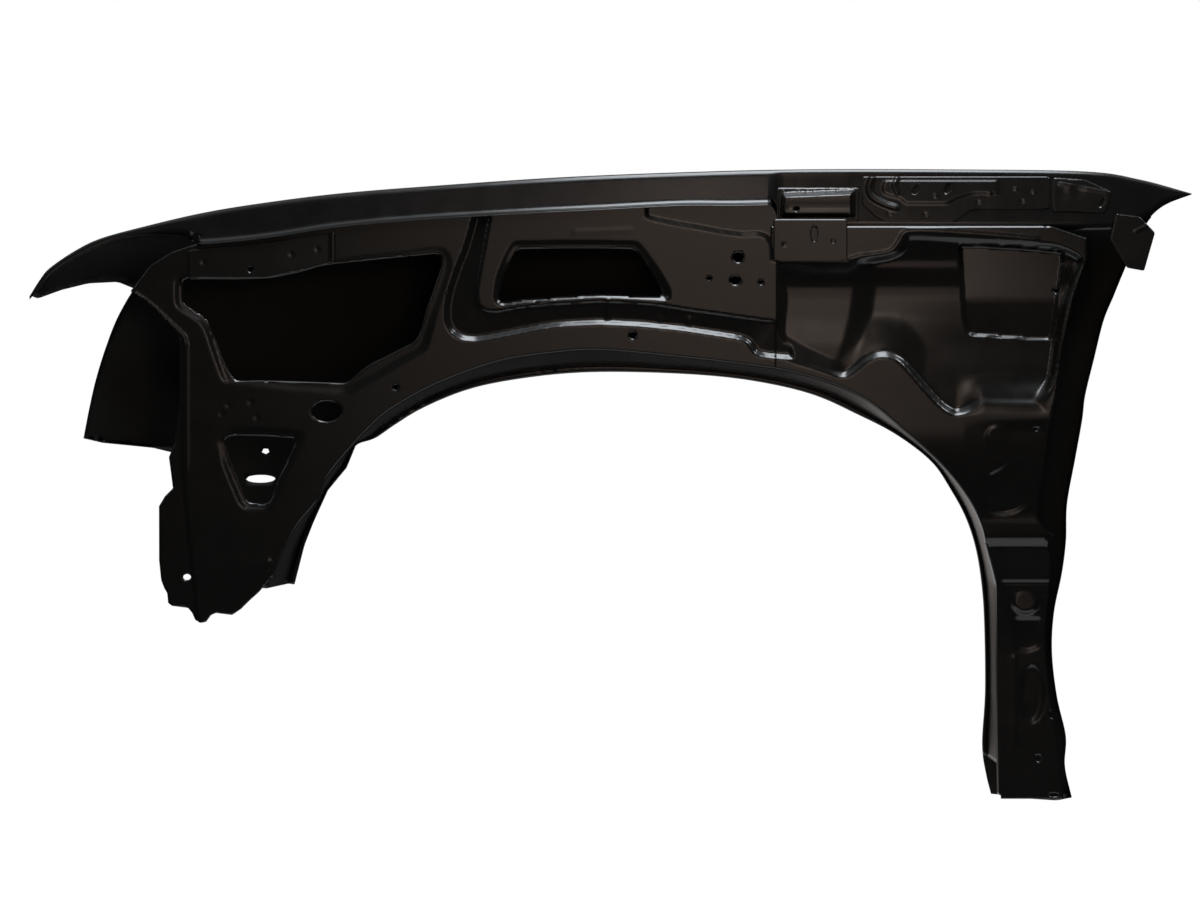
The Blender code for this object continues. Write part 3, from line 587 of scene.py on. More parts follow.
# %% Shared lines
LINE_PITCH = 0.004
CROWN = curve_through(
    place([
        (30, 296), (40, 280), (50, 268), (75, 251), (100, 239), (140, 228), (200, 214), (260, 204),
        (340, 194), (440, 186), (560, 178), (680, 173), (800, 170), (950, 170), (1085, 172),
        (1140, 180), (1192, 194),
    ]),
    LINE_PITCH,
)
WALL_FOOT = curve_through(
    place([
        (30, 299), (60, 268), (110, 242), (150, 235), (184, 236), (196, 243), (240, 240), (280, 235),
        (340, 226), (420, 219), (520, 213), (600, 209), (680, 205), (730, 205), (760, 204.5), (771, 205),
        (776, 213), (780, 225), (788, 230), (820, 230), (1100, 230), (1140, 222), (1166, 205), (1192, 195),
    ]),
    LINE_PITCH,
)
FRONT_ARCH = place([(291, 592), (301, 553), (310, 530), (325, 497), (344, 474), (353, 452)])
REAR_ARCH = place([
    (357, 449), (373, 444), (392, 431), (420, 414), (460, 397), (500, 387), (560, 379), (620, 377),
    (700, 380), (760, 387), (815, 400), (860, 420), (900, 441), (935, 468), (955, 497), (970, 525),
    (980, 555), (986, 590), (989, 630), (990, 700), (987, 755), (991, 785), (996, 805),
])
ARCH = np.concatenate([divide(FRONT_ARCH, LINE_PITCH), curve_through(REAR_ARCH, LINE_PITCH)])
ARCH_CENTRE = place((640, 640))[0]
INNER_ARCH = curve_through(
    place([
        (264, 594), (269, 580), (277, 558), (294, 525), (314, 500), (323, 478), (343, 452),
        (375, 418), (400, 400), (440, 379), (500, 358), (560, 349), (600, 347), (660, 352),
        (740, 361), (800, 371), (860, 393), (905, 428), (945, 465), (970, 497), (984, 525),
        (990, 550), (998, 580), (1000, 600), (1001, 700), (1003, 815),
    ]),
    LINE_PITCH,
)


def crown_height(x):
    """Height of the crown line at a place across."""
    return np.interp(x, CROWN[:, 0], CROWN[:, 1])


def crown_depth(x):
    """Depth of the crown line: level, and swept inboard by a parabola towards the front tip."""
    return CROWN_DEPTH - CROWN_SWEEP * np.clip(1 - x / CROWN_SWEEP_LENGTH, 0, 1) ** 2


def wall_foot_height(x):
    """Height of the gutter wall's foot at a place across."""
    return np.interp(x, WALL_FOOT[:, 0], WALL_FOOT[:, 1])


def wall_lean(x):
    """The wall leans inboard by a fixed share of its drop, and by less behind the ledge's end."""
    return WALL_LEAN + HINGE_LEAN * ease((x - across(772)) / (8 * SQUARE))


def wall_depth(x, z):
    """Depth of the gutter wall: the crown's, less the lean times the drop from the crown."""
    return crown_depth(x) - wall_lean(x) * (crown_height(x) - z)


def leg_depth(points):
    """How far the inner panels ease outboard towards the leg, behind the wheel only."""
    top, foot = height((425, 660))
    return LEG_OFFSET * ease((top - points[:, 1]) / (top - foot)) * (points[:, 0] > across(780))


print(f"the crown line has {len(CROWN)} points and the wheel opening {len(ARCH)}")

# %% [markdown]
# ## Outer skin
#
# This is the side that gets the car's colour. A quarter ellipse rolls it over from the crown line
# into a gently bowed side, which flares out a little round the wheel opening. The drawing is unrolled
# first, so that the triangles on the steep shoulder stay even.


# %% Form of the outer skin
def unroll(points):
    """Rolls the shoulder out flat: the drop d under the crown becomes D * acos(1 - d/D) * 2/pi."""
    top = crown_height(points[:, 0])
    drop = np.clip(top - points[:, 1], 0, None)
    rolled = SHOULDER_DROP * np.arccos(1 - np.clip(drop / SHOULDER_DROP, 0, 1)) / (math.pi / 2)
    return np.column_stack([points[:, 0], top - np.where(drop < SHOULDER_DROP, rolled, drop)])


def skin_form(flat):
    """y = width * sin(a) and drop = D * (1 - cos(a)) on the shoulder, then a sine bow and the flare."""
    x, top = flat[:, 0], crown_height(flat[:, 0])
    rolled = top - flat[:, 1]
    angle = np.clip(rolled / SHOULDER_DROP, 0, 1) * math.pi / 2
    drop = np.where(rolled < SHOULDER_DROP, SHOULDER_DROP * (1 - np.cos(angle)), rolled)
    z = top - drop
    taper = 1 - NOSE_TAPER * np.clip(1 - x / NOSE_LENGTH, 0, 1) ** 2
    width = SHOULDER_WIDTH * taper - CROWN_RADIUS
    below = np.clip((drop - SHOULDER_DROP) / (HEIGHT - SHOULDER_DROP), 0, 1)
    arch_gap = line_gap(np.column_stack([x, z]), ARCH[::4])
    flare = FLARE_DEPTH * ease(1 - arch_gap / FLARE_WIDTH) * np.sin(angle)
    y = crown_depth(x) + CROWN_RADIUS + width * np.sin(angle) + SIDE_BOW * np.sin(math.pi * below) + flare
    return np.column_stack([x, y, z])


def lip_layers(points):
    """How many inner sheets lie in front of the wheel lip's weld flange."""
    first, last = across((745, 765))
    top, foot = height((515, 533))
    behind = np.clip((points[:, 0] - first) / (last - first), 0, 1)
    below = np.clip((top - points[:, 1]) / (top - foot), 0, 1)
    return 1 + behind + below * (points[:, 0] > last)


def crumple(x):
    """Small dents in the lip's edge: sine waves, each fading as exp(-u^2) from the middle of its stretch."""

    def stretch(middle, half_length):
        """exp(-u^2), with u the distance from the middle over the half length, both in squares."""
        return np.exp(-(((x - across(middle)) / (half_length * SQUARE)) ** 2))

    top = stretch(586, 26) + 0.6 * stretch(548, 7)
    return CRUMPLE_DEPTH * (top * np.sin(x * 610) + stretch(409, 16) * np.sin(x * 520 + 1.0))


def wheel_lip_rows(start):
    """Along spokes from the wheel's centre: under the edge, up the return, in to the inner panels."""
    spoke = start[:, [0, 2]] - ARCH_CENTRE
    radius = np.linalg.norm(spoke, axis=1)
    spoke = spoke / radius[:, None]
    line = (INNER_ARCH - ARCH_CENTRE)[::-1]
    spoke_turn = np.arctan2(spoke[:, 1], spoke[:, 0])
    line_turn = np.arctan2(line[:, 1], line[:, 0])
    inner_radius = np.interp(spoke_turn, line_turn, np.linalg.norm(line, axis=1))

    def row(reach, depth):
        """Points at a reach along each spoke, with the depth that the function gives there."""
        flat = ARCH_CENTRE + spoke * reach[:, None]
        return np.column_stack([flat[:, 0], depth(flat), flat[:, 1]])

    def on_inner(flat):
        """The outboard face of the inner sheets."""
        return leg_depth(flat) + LAYER * lip_layers(flat)

    rise = LIP_RISE * (inner_radius - radius)
    edge = start[:, 1] - LIP_WIDTH - LIP_RETURN - crumple(start[:, 0])
    rows = [
        start,
        row(radius, lambda flat: edge),
        row(radius + LIP_FOLD_SHARE * rise, lambda flat: edge + LIP_BEAD * 0.1),
        row(radius + LIP_FOLD_SHARE * rise + LIP_BEAD, lambda flat: edge + LIP_BEAD),
        row(inner_radius, on_inner),
        row(inner_radius + WELD_FLANGE, on_inner),
    ]
    return through_rows(rows, (0.004, 0.0012, 0.0012, 0.005), 0.006)


print(f"the skin is {skin_form(unroll(place([(600, 300)])))[0, 1] * 1000:.0f} mm out over the wheel")


# %% Build the outer skin
SKIN_PITCH = 0.005
fin = divide(place([(30, 296), (37, 299), (60, 291), (86, 285), (115, 284), (131, 291)]), LINE_PITCH)
lamp = curve_through(place([(131, 291), (115, 320), (104, 348), (94, 380), (87, 410), (81, 441)]), LINE_PITCH)
bumper = divide(
    place([
        (81, 441), (100, 446), (150, 452), (169, 457), (205, 470), (226, 500), (246, 535),
        (262, 556), (262, 592), (291, 592),
    ]),
    LINE_PITCH,
)
foot = divide(place([(996, 805), (1030, 808), (1062, 810), (1077, 807)]), LINE_PITCH)
door = curve_through(
    place([
        (1077, 807), (1070, 775), (1071, 745), (1062, 705), (1057, 660), (1059, 620), (1067, 580),
        (1071, 547), (1072, 510), (1080, 465), (1087, 425), (1090, 400), (1099, 362), (1108, 325),
        (1118, 300), (1131, 268), (1142, 245), (1151, 225), (1166, 208), (1192, 194),
    ]),
    LINE_PITCH,
)


def build_outer_skin(material, back_material):
    """The side and shoulder in one sheet, then the wheel lip, the end flanges, the wall and the ledge."""
    edge = np.concatenate([line[:-1] for line in (fin, lamp, bumper, ARCH, foot, door, CROWN[::-1])])
    holes = [oval(262, 457, 4, 3), oval(257, 485, 15, 4), oval(277, 582, 4, 3)]
    corners = unroll(place([
        (30, 296), (81, 441), (262, 592), (291, 592), (1077, 807), (996, 805), (1192, 194),
    ]))
    sheet = lay_sheet(unroll(edge), [unroll(hole) for hole in holes], SKIN_PITCH, corners=corners)
    skin = Skin(skin_form(sheet.flat), sheet.triangles)

    wheel = rim_of(sheet, unroll(ARCH[:-12]))
    skin.carry_on(wheel, wheel_lip_rows(skin.at(wheel)))
    for first, second in ((lamp[2:], bumper[1:-8]), (foot[8:-1], door[:-12])):
        numbers = rim_of(sheet, unroll(np.concatenate([first, second])))
        start = skin.at(numbers)
        rows = [start, start - [0, EDGE_BEND, 0], start - [0, EDGE_FLANGE, 0]]
        skin.carry_on(numbers, through_rows(rows, (EDGE_BEND,), 0.004))

    crown = rim_of(sheet, unroll(CROWN[::-1]))
    start = skin.at(crown)
    foot_row, ledge_row = start.copy(), start.copy()
    foot_row[:, 2] = wall_foot_height(start[:, 0])
    foot_row[:, 1] = wall_depth(foot_row[:, 0], foot_row[:, 2])
    crest = start.copy()
    crest[:, 1] -= CROWN_RADIUS
    slope = crest - foot_row
    above = foot_row + slope * np.minimum(0.010 / np.linalg.norm(slope, axis=1), 0.45)[:, None]
    wall = skin.carry_on(crown, through_rows([start, crest, above], (CROWN_RADIUS,), 0.005))
    first, last = across((196, 774))
    held = (foot_row[:, 0] >= first) & (foot_row[:, 0] <= last)
    ledge_row = foot_row - [0, LEDGE_WIDTH, 0]
    rows = [above[held], foot_row[held], ledge_row[held]]
    skin.carry_on(wall[held], through_rows(rows, (LEDGE_BEND,), 0.005))
    for run in (foot_row[:, 0] > last, foot_row[:, 0] < first):
        skin.carry_on(wall[run], [foot_row[run]])
    return add_piece(
        "outer_skin_sheet", skin, "outer_skin", material, outside_out=True, back_material=back_material
    )


MATERIAL_SKIN = primer("skin_primer", (0.0052, 0.0050, 0.0048), 0.18, 0.25)
# The skin's inner face is the same primer, painted about twice as light as the outer face: painted light,
# standing in for the fill that barely reaches inside the fender.
MATERIAL_SKIN_BACK_PAINTED_FILL = primer("skin_back_primer_painted_fill", (0.0100, 0.0096, 0.0086), 0.48, 0.25)
MATERIAL_SKIN_BACK_PAINTED_FILL.node_tree.nodes["Principled BSDF"].inputs["Specular IOR Level"].default_value = 0.2
build_outer_skin(MATERIAL_SKIN, MATERIAL_SKIN_BACK_PAINTED_FILL)

# %% [markdown]
# ## Inner panels
#
# The inner panels close the fender on the engine side. Each is one pressing: windows save weight and
# let a hand in, rims round the windows and long channels keep the thin sheet stiff. All depths are
# measured outboard from the flat face of the front panel. Along the wheel opening each panel turns
# outboard over a small radius and lies on the outer skin's lip.


# %% Turned edge of an inner panel above the wheel
def arch_edge(x_first, x_last, low=-1.0):
    """The stretch of the inner arch line between two places across, above a height."""
    line = INNER_ARCH
    return line[(line[:, 0] > x_first) & (line[:, 0] < x_last) & (line[:, 1] > low)]


def onto_lip(start, reach=0.0045, radius=0.0022):
    """From the cut edge outboard and towards the wheel's centre, as the lip behind it does."""
    spoke = start[:, [0, 2]] - ARCH_CENTRE
    long = np.linalg.norm(spoke, axis=1)
    spoke = spoke / long[:, None]
    away = np.column_stack([-spoke[:, 0] * 0.30, np.full(len(spoke), 0.95), -spoke[:, 1] * 0.30])
    bend = start - np.column_stack([spoke[:, 0], np.zeros(len(spoke)), spoke[:, 1]]) * radius
    return through_rows([start, bend, bend + away * (reach + radius)], (radius,), 0.0022)


def turn_outboard(skin, numbers, out, radius, forward):
    """Carries an edge on by the radius along forward, and then outboard."""
    start = skin.at(numbers)
    bend = start + np.array([forward[0], 0, forward[1]]) * radius
    skin.carry_on(numbers, through_rows([start, bend, bend + [0, out, 0]], (radius,), 0.003))


print(f"the inner panels turn over the wheel along {len(arch_edge(0.0, 9.0))} points")

# %% [markdown]
# ## Front inner panel
#
# Three windows with pressed rims, and a channel that comes down beside the third window and then runs
# to the rear over the wheel. A second thickness of sheet ends in a slanted edge under the hinge.

# %% Outlines of the front inner panel
PANEL_PITCH = 0.0024
FRONT_EDGE = divide(
    place([
        (196, 244), (172, 252), (150, 266), (131, 291), (143, 298), (155, 308), (166, 320), (178, 334),
        (181, 340), (181, 400), (176, 440), (169, 457), (171, 472), (173, 488), (165, 496), (159, 506),
        (159, 560), (161, 580), (164, 588), (167, 593), (168, 603), (172, 606), (188, 608), (192, 613),
        (195, 620), (200, 623), (206, 622), (211, 615), (216, 613), (232, 615), (241, 609), (250, 600),
        (259, 592), (269, 580),
    ]),
    LINE_PITCH,
)
WINDOW_1 = place([
    (183, 279), (183, 303), (205, 317), (209, 322), (213, 332), (219, 346), (225, 362), (231, 374),
    (236, 380), (260, 380), (290, 381), (345, 383), (350, 381), (358, 373), (370, 364), (385, 357),
    (400, 349), (413, 343), (418, 337), (421, 330), (424, 318), (428, 305), (433, 292), (437, 280),
    (441, 268), (442, 258), (438, 253), (420, 255), (400, 257), (370, 260), (340, 263), (320, 266),
    (300, 272), (270, 278), (240, 279), (210, 279),
])
WINDOW_1_RIM = place([
    (174, 276), (174, 302), (177, 309), (202, 325), (207, 338), (214, 360), (221, 380), (226, 384),
    (255, 387), (290, 391), (345, 395), (353, 392), (366, 385), (380, 378), (400, 366), (425, 352),
    (429, 346), (432, 335), (440, 308), (447, 290), (453, 270), (453, 258), (448, 248), (438, 244),
    (420, 246), (400, 249), (370, 252), (340, 256), (320, 260), (300, 264), (270, 270), (240, 271),
    (200, 271),
])
WINDOW_2 = place([
    (224, 440), (230, 436), (240, 435), (268, 436), (297, 438), (290, 455), (281, 470), (275, 485),
    (270, 500), (265, 504), (250, 503), (246, 500), (240, 482), (233, 465),
])
WINDOW_2_RIM = place([
    (216, 440), (230, 429), (240, 427), (270, 427), (302, 430), (306, 437), (300, 450), (292, 465),
    (285, 478), (280, 492), (273, 506), (268, 511), (246, 511), (239, 506), (230, 485), (222, 465),
])
WINDOW_3 = place([
    (517, 249), (560, 248), (600, 248), (634, 249), (640, 255), (650, 270), (658, 284), (663, 294),
    (658, 296), (640, 295.5), (600, 293.5), (560, 296), (520, 299), (503, 302), (499, 298), (503, 278),
    (510, 262),
])
WINDOW_3_RIM = place([
    (512, 240), (560, 239), (600, 239), (638, 240), (648, 252), (660, 270), (671, 290), (670, 302),
    (658, 301), (640, 300), (600, 298), (560, 300.5), (520, 304), (500, 307), (493, 300), (496, 276),
    (503, 255),
])
CHANNEL_FOOT = place([
    (473, 212), (468, 230), (462, 250), (455, 266), (447, 290), (444, 306), (444, 322), (450, 334),
    (462, 341), (478, 342), (500, 338), (520, 334), (540, 330), (560, 327), (600, 325), (640, 327),
    (680, 331), (720, 337), (738, 340), (746, 343), (750, 349), (754, 355), (764, 358), (796, 361),
])
CHANNEL_HEAD = place([
    (492, 212), (487, 240), (483, 262), (478, 288), (478, 300), (483, 308), (495, 310), (520, 305),
    (540, 303), (560, 301.5), (600, 299), (640, 301), (660, 303), (690, 308), (720, 312), (740, 315),
    (770, 319), (796, 322),
])
CHANNEL = np.concatenate([CHANNEL_FOOT, CHANNEL_HEAD[::-1]])
UNDER_SHEET = place([
    (644, 218), (652, 221), (676, 226), (700, 230), (720, 234), (742, 237), (758, 236), (765, 238),
    (769, 246), (770, 262), (800, 262), (800, 200), (644, 200),
])
print(f"the front panel's front and foot take {len(FRONT_EDGE)} points")

# %% [markdown]
# No wall on a real pressing is even all round. So the depth and the breadth of a wall may be functions
# of the place: the rims run out towards the head of each window, and the channel's floor slants. A
# wall that tilts by 25 to 50 degrees towards the light shows as a bright line, and one that tilts less
# stays dark, so these functions also decide where the lines of light begin and end.


# %% Depths of the front panel's pressings
def smooth(points, radius=0.004, pitch=0.002):
    """A closed outline with rounded corners, cut into short steps."""
    return divide(rounded(points, radius), pitch, closed=True)


def channel_depth(points):
    """A floor that slants: the depth falls from the foot line to the head line."""
    from_foot, from_head = line_gap(points, CHANNEL_FOOT), line_gap(points, CHANNEL_HEAD)
    return 0.0018 + 0.0044 * from_head / np.maximum(from_foot + from_head, 1e-9)


def channel_wall(points):
    """The channel's wall is steeper along the head line than along the foot line."""
    from_foot, from_head = line_gap(points, CHANNEL_FOOT), line_gap(points, CHANNEL_HEAD)
    share = from_head / np.maximum(from_foot + from_head, 1e-9)
    return 0.0042 + 0.0034 * ease((share - 0.3) / 0.4)


def rim_1_depth(points):
    """The first window's rim is pressed in at its foot and its front, and runs out towards its head."""
    low = ease((height(300) - points[:, 1]) / (60 * SQUARE))
    front = ease((across(230) - points[:, 0]) / (30 * SQUARE))
    front = front * ease((height(275) - points[:, 1]) / (12 * SQUARE))
    return 0.0006 + 0.0014 * low + 0.0020 * front


def rim_2_depth(points):
    """The second window's rim is shallow at its head."""
    return 0.0010 + 0.0014 * ease((height(445) - points[:, 1]) / (30 * SQUARE))


def rim_3_depth(points):
    """The third window's rim is shallow at its head and deeper at its foot."""
    return 0.0014 + 0.0030 * ease((height(255) - points[:, 1]) / (40 * SQUARE))


front_windows = [smooth(WINDOW_1, 0.006), smooth(WINDOW_2, 0.004), smooth(WINDOW_3, 0.004)]
front_round_holes = [
    oval(251, 269, 3, 3), oval(396, 387, 3, 3), oval(327, 411, 15, 10.5, 40), oval(632.5, 335, 3.6, 3.6),
    oval(738, 257, 5.2, 5.2), oval(735, 280, 5.6, 4.4), oval(709, 278, 2.2, 2.2), oval(761, 282, 2.2, 2.4),
    oval(187, 577, 4, 3),
]
front_pressings = [
    Pressing(smooth(WINDOW_1_RIM, 0.008), rim_1_depth, 0.0078, 0.28),
    Pressing(smooth(WINDOW_2_RIM, 0.006), rim_2_depth, 0.0070, 0.28),
    Pressing(smooth(WINDOW_3_RIM, 0.006), rim_3_depth, 0.0066, 0.25),
    Pressing(smooth(CHANNEL, 0.006), channel_depth, channel_wall, 0.45),
    Pressing(smooth(UNDER_SHEET, 0.003), 0.0016, 0.0060, 0.35),
]
print(f"front panel: {len(front_windows)} windows, {len(front_round_holes)} holes")


# %% [markdown]
# The small things on the panel's face come next: ribs across the channel, a fold along the front and
# the dents that the welding tongs left. They could be modelled by hand one after the other. As bumps
# of a known height and breadth along a line they are each one line of code, and they add up freely.

# %% Form of the front inner panel
def front_form(flat):
    """Depth of the pressings, plus ribs in the channel, beads, a fold in front and weld dimples."""
    depth = pressed(flat, front_pressings)
    depth += bead(flat, place([(608, 301), (608, 319)]), -0.0016, 0.0030)
    depth += bead(flat, place([(667, 303), (667, 316), (660, 320)]), -0.0014, 0.0028)
    depth += bead(flat, place([(689, 318), (689, 324)]), -0.0010, 0.0026)
    depth += bead(flat, place([(224, 601), (240, 588), (255, 575), (268, 561)]), -0.0013, 0.0040)
    depth += bead(flat, place([(575, 232), (630, 230)]), -0.0002, 0.0050)
    depth += bead(flat, place([(135, 293), (150, 304), (184, 336), (186, 345)]), -0.0018, 0.0031)
    depth += bead(flat, place([(187, 345), (187, 470)]), -0.0005, 0.0024)
    fold = place([(183, 470), (183, 344), (176, 334)])
    beside_fold = (flat[:, 0] < across(215)) & (flat[:, 1] < height(332))
    depth += step_along(flat, fold, 0.0016, 0.0065) * beside_fold
    welds = place([(251, 402), (257, 417), (229, 405), (222, 414)])
    depth += dimples(flat, welds, 0.0007, 0.0038)
    return np.column_stack([flat[:, 0], depth, flat[:, 1]])


def build_front_panel(material):
    """The flat with its pressings, then the edges turned over the wheel, under the wall and in front."""
    end = across(778)
    arch = arch_edge(FRONT_EDGE[-1, 0], end)
    x = np.arange(end, FRONT_EDGE[0, 0], -LINE_PITCH)
    head = np.column_stack([x, wall_foot_height(x) - LAYER])
    side = divide(np.array([arch[-1], head[0]]), LINE_PITCH)
    edge = np.concatenate([FRONT_EDGE, arch, side[1:-1], head])
    holes = front_windows + front_round_holes
    sheet = lay_sheet(edge, holes, PANEL_PITCH, front_pressings, [FRONT_EDGE[-1], arch[-1], head[0]])
    skin = Skin(front_form(sheet.flat), sheet.triangles)
    numbers = rim_of(sheet, arch)
    skin.carry_on(numbers, onto_lip(skin.at(numbers)))
    turn_outboard(skin, rim_of(sheet, head), 0.011, 0.0015, (0, 0.6))
    nose = divide(place([(131, 291), (166, 320), (181, 340), (181, 400), (176, 440)]), LINE_PITCH)
    turn_outboard(skin, rim_of(sheet, nose), 0.008, 0.0018, (-0.7, 0))
    return add_piece("front_inner_sheet", skin, "front_inner_panel", material)


MATERIAL_FRONT = primer("front_primer", (0.0060, 0.0056, 0.0050), 0.20, 0.30)
build_front_panel(MATERIAL_FRONT)

# %% [markdown]
# ## Rear inner panel
#
# Behind the hinge the panel sinks into a stepped bay that clears the door hinge. Its floor comes
# forward again lower down, which makes the long soft faces that catch the light. A pocket in the bay
# has a level ridge across it, and a flat pad lies above the leg.

# %% Outlines of the rear inner panel
REAR_EDGE = divide(
    place([
        (1048, 548), (1056, 537), (1045, 530), (1038, 518), (1039, 500), (1042, 480), (1046, 450),
        (1050, 425), (1053, 410), (1056, 392), (1058, 370), (1062, 345), (1068, 320), (1072, 300),
        (1078, 280), (1086, 258), (1086, 238), (1050, 226), (770, 226),
    ]),
    LINE_PITCH,
)
BAY = curve_through(
    place([
        (773, 262), (773, 300), (771, 330), (775, 356), (790, 366), (812, 371), (832, 377), (846, 378),
        (858, 371), (868, 363), (878, 359), (889, 359), (898, 363), (909, 374), (924, 391), (938, 406),
        (952, 415), (968, 416), (1000, 418), (1046, 417), (1053, 400), (1057, 370), (1062, 335),
        (1069, 305), (1077, 280), (1083, 258), (1060, 244), (1030, 240), (980, 236), (915, 232),
        (904, 236), (898, 247), (886, 253), (862, 257), (846, 261), (820, 261),
    ]),
    0.003,
    closed=True,
)
BAY_LINE = curve_through(
    place([
        (850, 259), (862, 256), (880, 254), (892, 250), (899, 241), (906, 232), (930, 231), (980, 234),
        (1036, 239),
    ]),
    0.002,
)
STEP = place([(864, 215), (864, 262), (864, 290), (860, 318), (853, 340), (845, 358), (838, 380)])
POCKET = place([
    (956, 243), (958, 280), (960, 310), (963, 330), (968, 338), (1050, 344), (1056, 338), (1058, 320),
    (1062, 290), (1066, 262), (1066, 250), (1030, 246), (980, 243),
])
PAD = place([
    (985, 474), (1000, 466), (1010, 457), (1021, 454), (1032, 458), (1037, 466), (1036, 482),
    (1034, 496), (1028, 507), (1018, 514), (1005, 517), (992, 517), (984, 512), (986, 501), (991, 491),
])
print(f"the bay's outline has {len(BAY)} points and the rear panel's edge {len(REAR_EDGE)}")

# %% [markdown]
# The bay's floor is built up as a designer would sketch it: a profile from head to foot for its front
# part, another for its rear part, and a slanted wall that blends the two. A twist and a hump are added
# at the end. Averaging each profile over a few squares rounds its corners.


# %% Depths of the bay, the pocket and the pad
def swept(points, downs, depths, soft=5):
    """Depth along a broken line of (squares down, depth), its corners rounded by averaging nearby values."""
    down = GRID_FOOT - points[:, 1] / HEIGHT * GRID_HIGH
    return np.mean([np.interp(down + shift, downs, depths) for shift in np.linspace(-soft, soft, 9)], axis=0)


def bay_foot(points):
    """Share from 0 to 1 by which a place is in the bay's rear foot, where its floor runs out."""
    behind = ease((points[:, 0] - across(955)) / (30 * SQUARE))
    return behind * ease((height(372) - points[:, 1]) / (36 * SQUARE))


def bay_depth(points):
    """Two floors with a slanted wall between, which come forward lower down and at a hump."""
    middle = np.interp(points[:, 1], STEP[::-1, 1], STEP[::-1, 0])
    behind = ramp((points[:, 0] - middle) / (27 * SQUARE) + 0.5, 0.3)
    slant = np.column_stack([points[:, 0], points[:, 1] + (points[:, 0] - across(807)) * 0.40])
    front = swept(
        points,
        [256, 262, 286, 296, 320, 346, 400],
        [0.0012, 0.0018, 0.0084, 0.0086, 0.0074, 0.0054, 0.0040],
        4,
    )
    facet = swept(slant, [256, 346, 371, 400], [0.0270, 0.0056, -0.0002, -0.0010], 2)
    rear = swept(
        points,
        [232, 260, 268, 285, 293, 315, 345, 365, 400, 420],
        [0.0015, 0.0098, 0.0098, 0.0142, 0.0146, 0.0132, 0.0098, 0.0070, 0.0050, 0.0044],
        4,
    )
    low = ease((height(295) - points[:, 1]) / (55 * SQUARE))
    rear += 0.052 * np.clip(points[:, 0] - across(900), 0, None) * low
    rear *= 1 - 0.70 * bay_foot(points)
    from_hump = np.linalg.norm(points - place((880, 360))[0], axis=1)
    share = 0.50 + 0.50 * ease(from_hump / (48 * SQUARE))
    return (np.minimum(front, facet) * (1 - behind) + rear * behind) * share


def bay_wall(points):
    """Breadth of the bay's wall: broad in front and where the rear foot runs out, narrow elsewhere."""
    low = ease((height(336) - points[:, 1]) / (22 * SQUARE))
    far = ease((points[:, 0] - across(1020)) / (30 * SQUARE))
    head = ease((points[:, 1] - height(275)) / (14 * SQUARE)) * (1 - far)
    return 0.0165 - 0.0065 * head - 0.0080 * np.maximum(low, far) + 0.0190 * bay_foot(points)


def pocket_depth(points):
    """Depth of the pocket: its floor slants forward to a level ridge and back again under it."""
    return swept(points, [243, 300, 340], [0.0206, 0.0160, 0.0210], 3)


def pad_depth(points):
    """The pad's floor leans back a little: it is deeper towards its foot."""
    return swept(points, [454, 517], [0.0008, 0.0030], 1)


rear_pressings = [
    Pressing(BAY, bay_depth, bay_wall, 0.32),
    Pressing(smooth(POCKET, 0.006), pocket_depth, 0.0052, 0.4),
    Pressing(smooth(PAD, 0.006), pad_depth, 0.0060, 0.42),
    Pressing(smooth(CHANNEL, 0.006), channel_depth, channel_wall, 0.45),
]
print(f"the bay is {bay_depth(place([(930, 300)]))[0] * 1000:.1f} mm deep in its middle")


# %% [markdown]
# The rear panel lies outboard of the front one by one sheet and eases further out towards the leg, so
# that the leg's own panel can lap behind it. All its pressings are measured from that ease.

# %% Form of the rear inner panel
def rear_form(flat):
    """The pressings on the ease towards the leg, plus a bead, a lean behind, a boss and a shelf."""
    depth = LAYER + leg_depth(flat) + pressed(flat, rear_pressings)
    depth += bead(flat, BAY_LINE, -0.0010, 0.0032)
    right = np.clip(flat[:, 0] - across(964), 0, None) * ease((height(418) - flat[:, 1]) / (14 * SQUARE))
    depth += 0.035 * right * ease((flat[:, 1] - height(524)) / (14 * SQUARE))
    boss = np.linalg.norm(flat - place((996, 436))[0], axis=1)
    depth -= 0.0011 * ramp((0.0125 - boss) / 0.0028, 0.4)
    shelf = swept(flat, [0, 519, 536, 540, 546, 900], [0, 0, -0.0040, -0.0040, 0, 0], 1)
    shelf = shelf * ease((flat[:, 0] - across(968)) / (16 * SQUARE))
    depth += shelf * ease((across(1052) - flat[:, 0]) / (8 * SQUARE))
    return np.column_stack([flat[:, 0], depth, flat[:, 1]])


def build_rear_panel(material):
    """The flat with its pressings, then the edge turned over the wheel and the flange to the wall."""
    start = across(770)
    arch = arch_edge(start, 9.0, REAR_EDGE[0, 1])
    corner = np.array([[arch[-1, 0], REAR_EDGE[0, 1]]])
    side = divide(np.array([REAR_EDGE[-1], arch[0]]), LINE_PITCH)
    edge = np.concatenate([side[:-1], arch, corner, REAR_EDGE[:-1]])
    holes = [oval(1056, 291, 2.4, 2.0), oval(1036, 429, 2.2, 1.6)]
    corners = [REAR_EDGE[-1], arch[0], corner[0], REAR_EDGE[0]]
    sheet = lay_sheet(edge, holes, PANEL_PITCH, rear_pressings, corners)
    skin = Skin(rear_form(sheet.flat), sheet.triangles)
    numbers = rim_of(sheet, arch)
    skin.carry_on(numbers, onto_lip(skin.at(numbers)))
    top = REAR_EDGE[-1, 1]
    numbers = rim_of(sheet, divide(np.array([[across(1045), top], [across(792), top]]), LINE_PITCH))
    start = skin.at(numbers)
    wall = start.copy()
    wall[:, 1] = wall_depth(start[:, 0], start[:, 2]) - WELD_GAP
    skin.carry_on(numbers, through_rows([start, wall], (), 0.003))
    return add_piece("rear_inner_sheet", skin, "rear_inner_panel", material)


MATERIAL_REAR = primer("rear_primer", (0.0064, 0.0058, 0.0050), 0.20, 0.35)
build_rear_panel(MATERIAL_REAR)

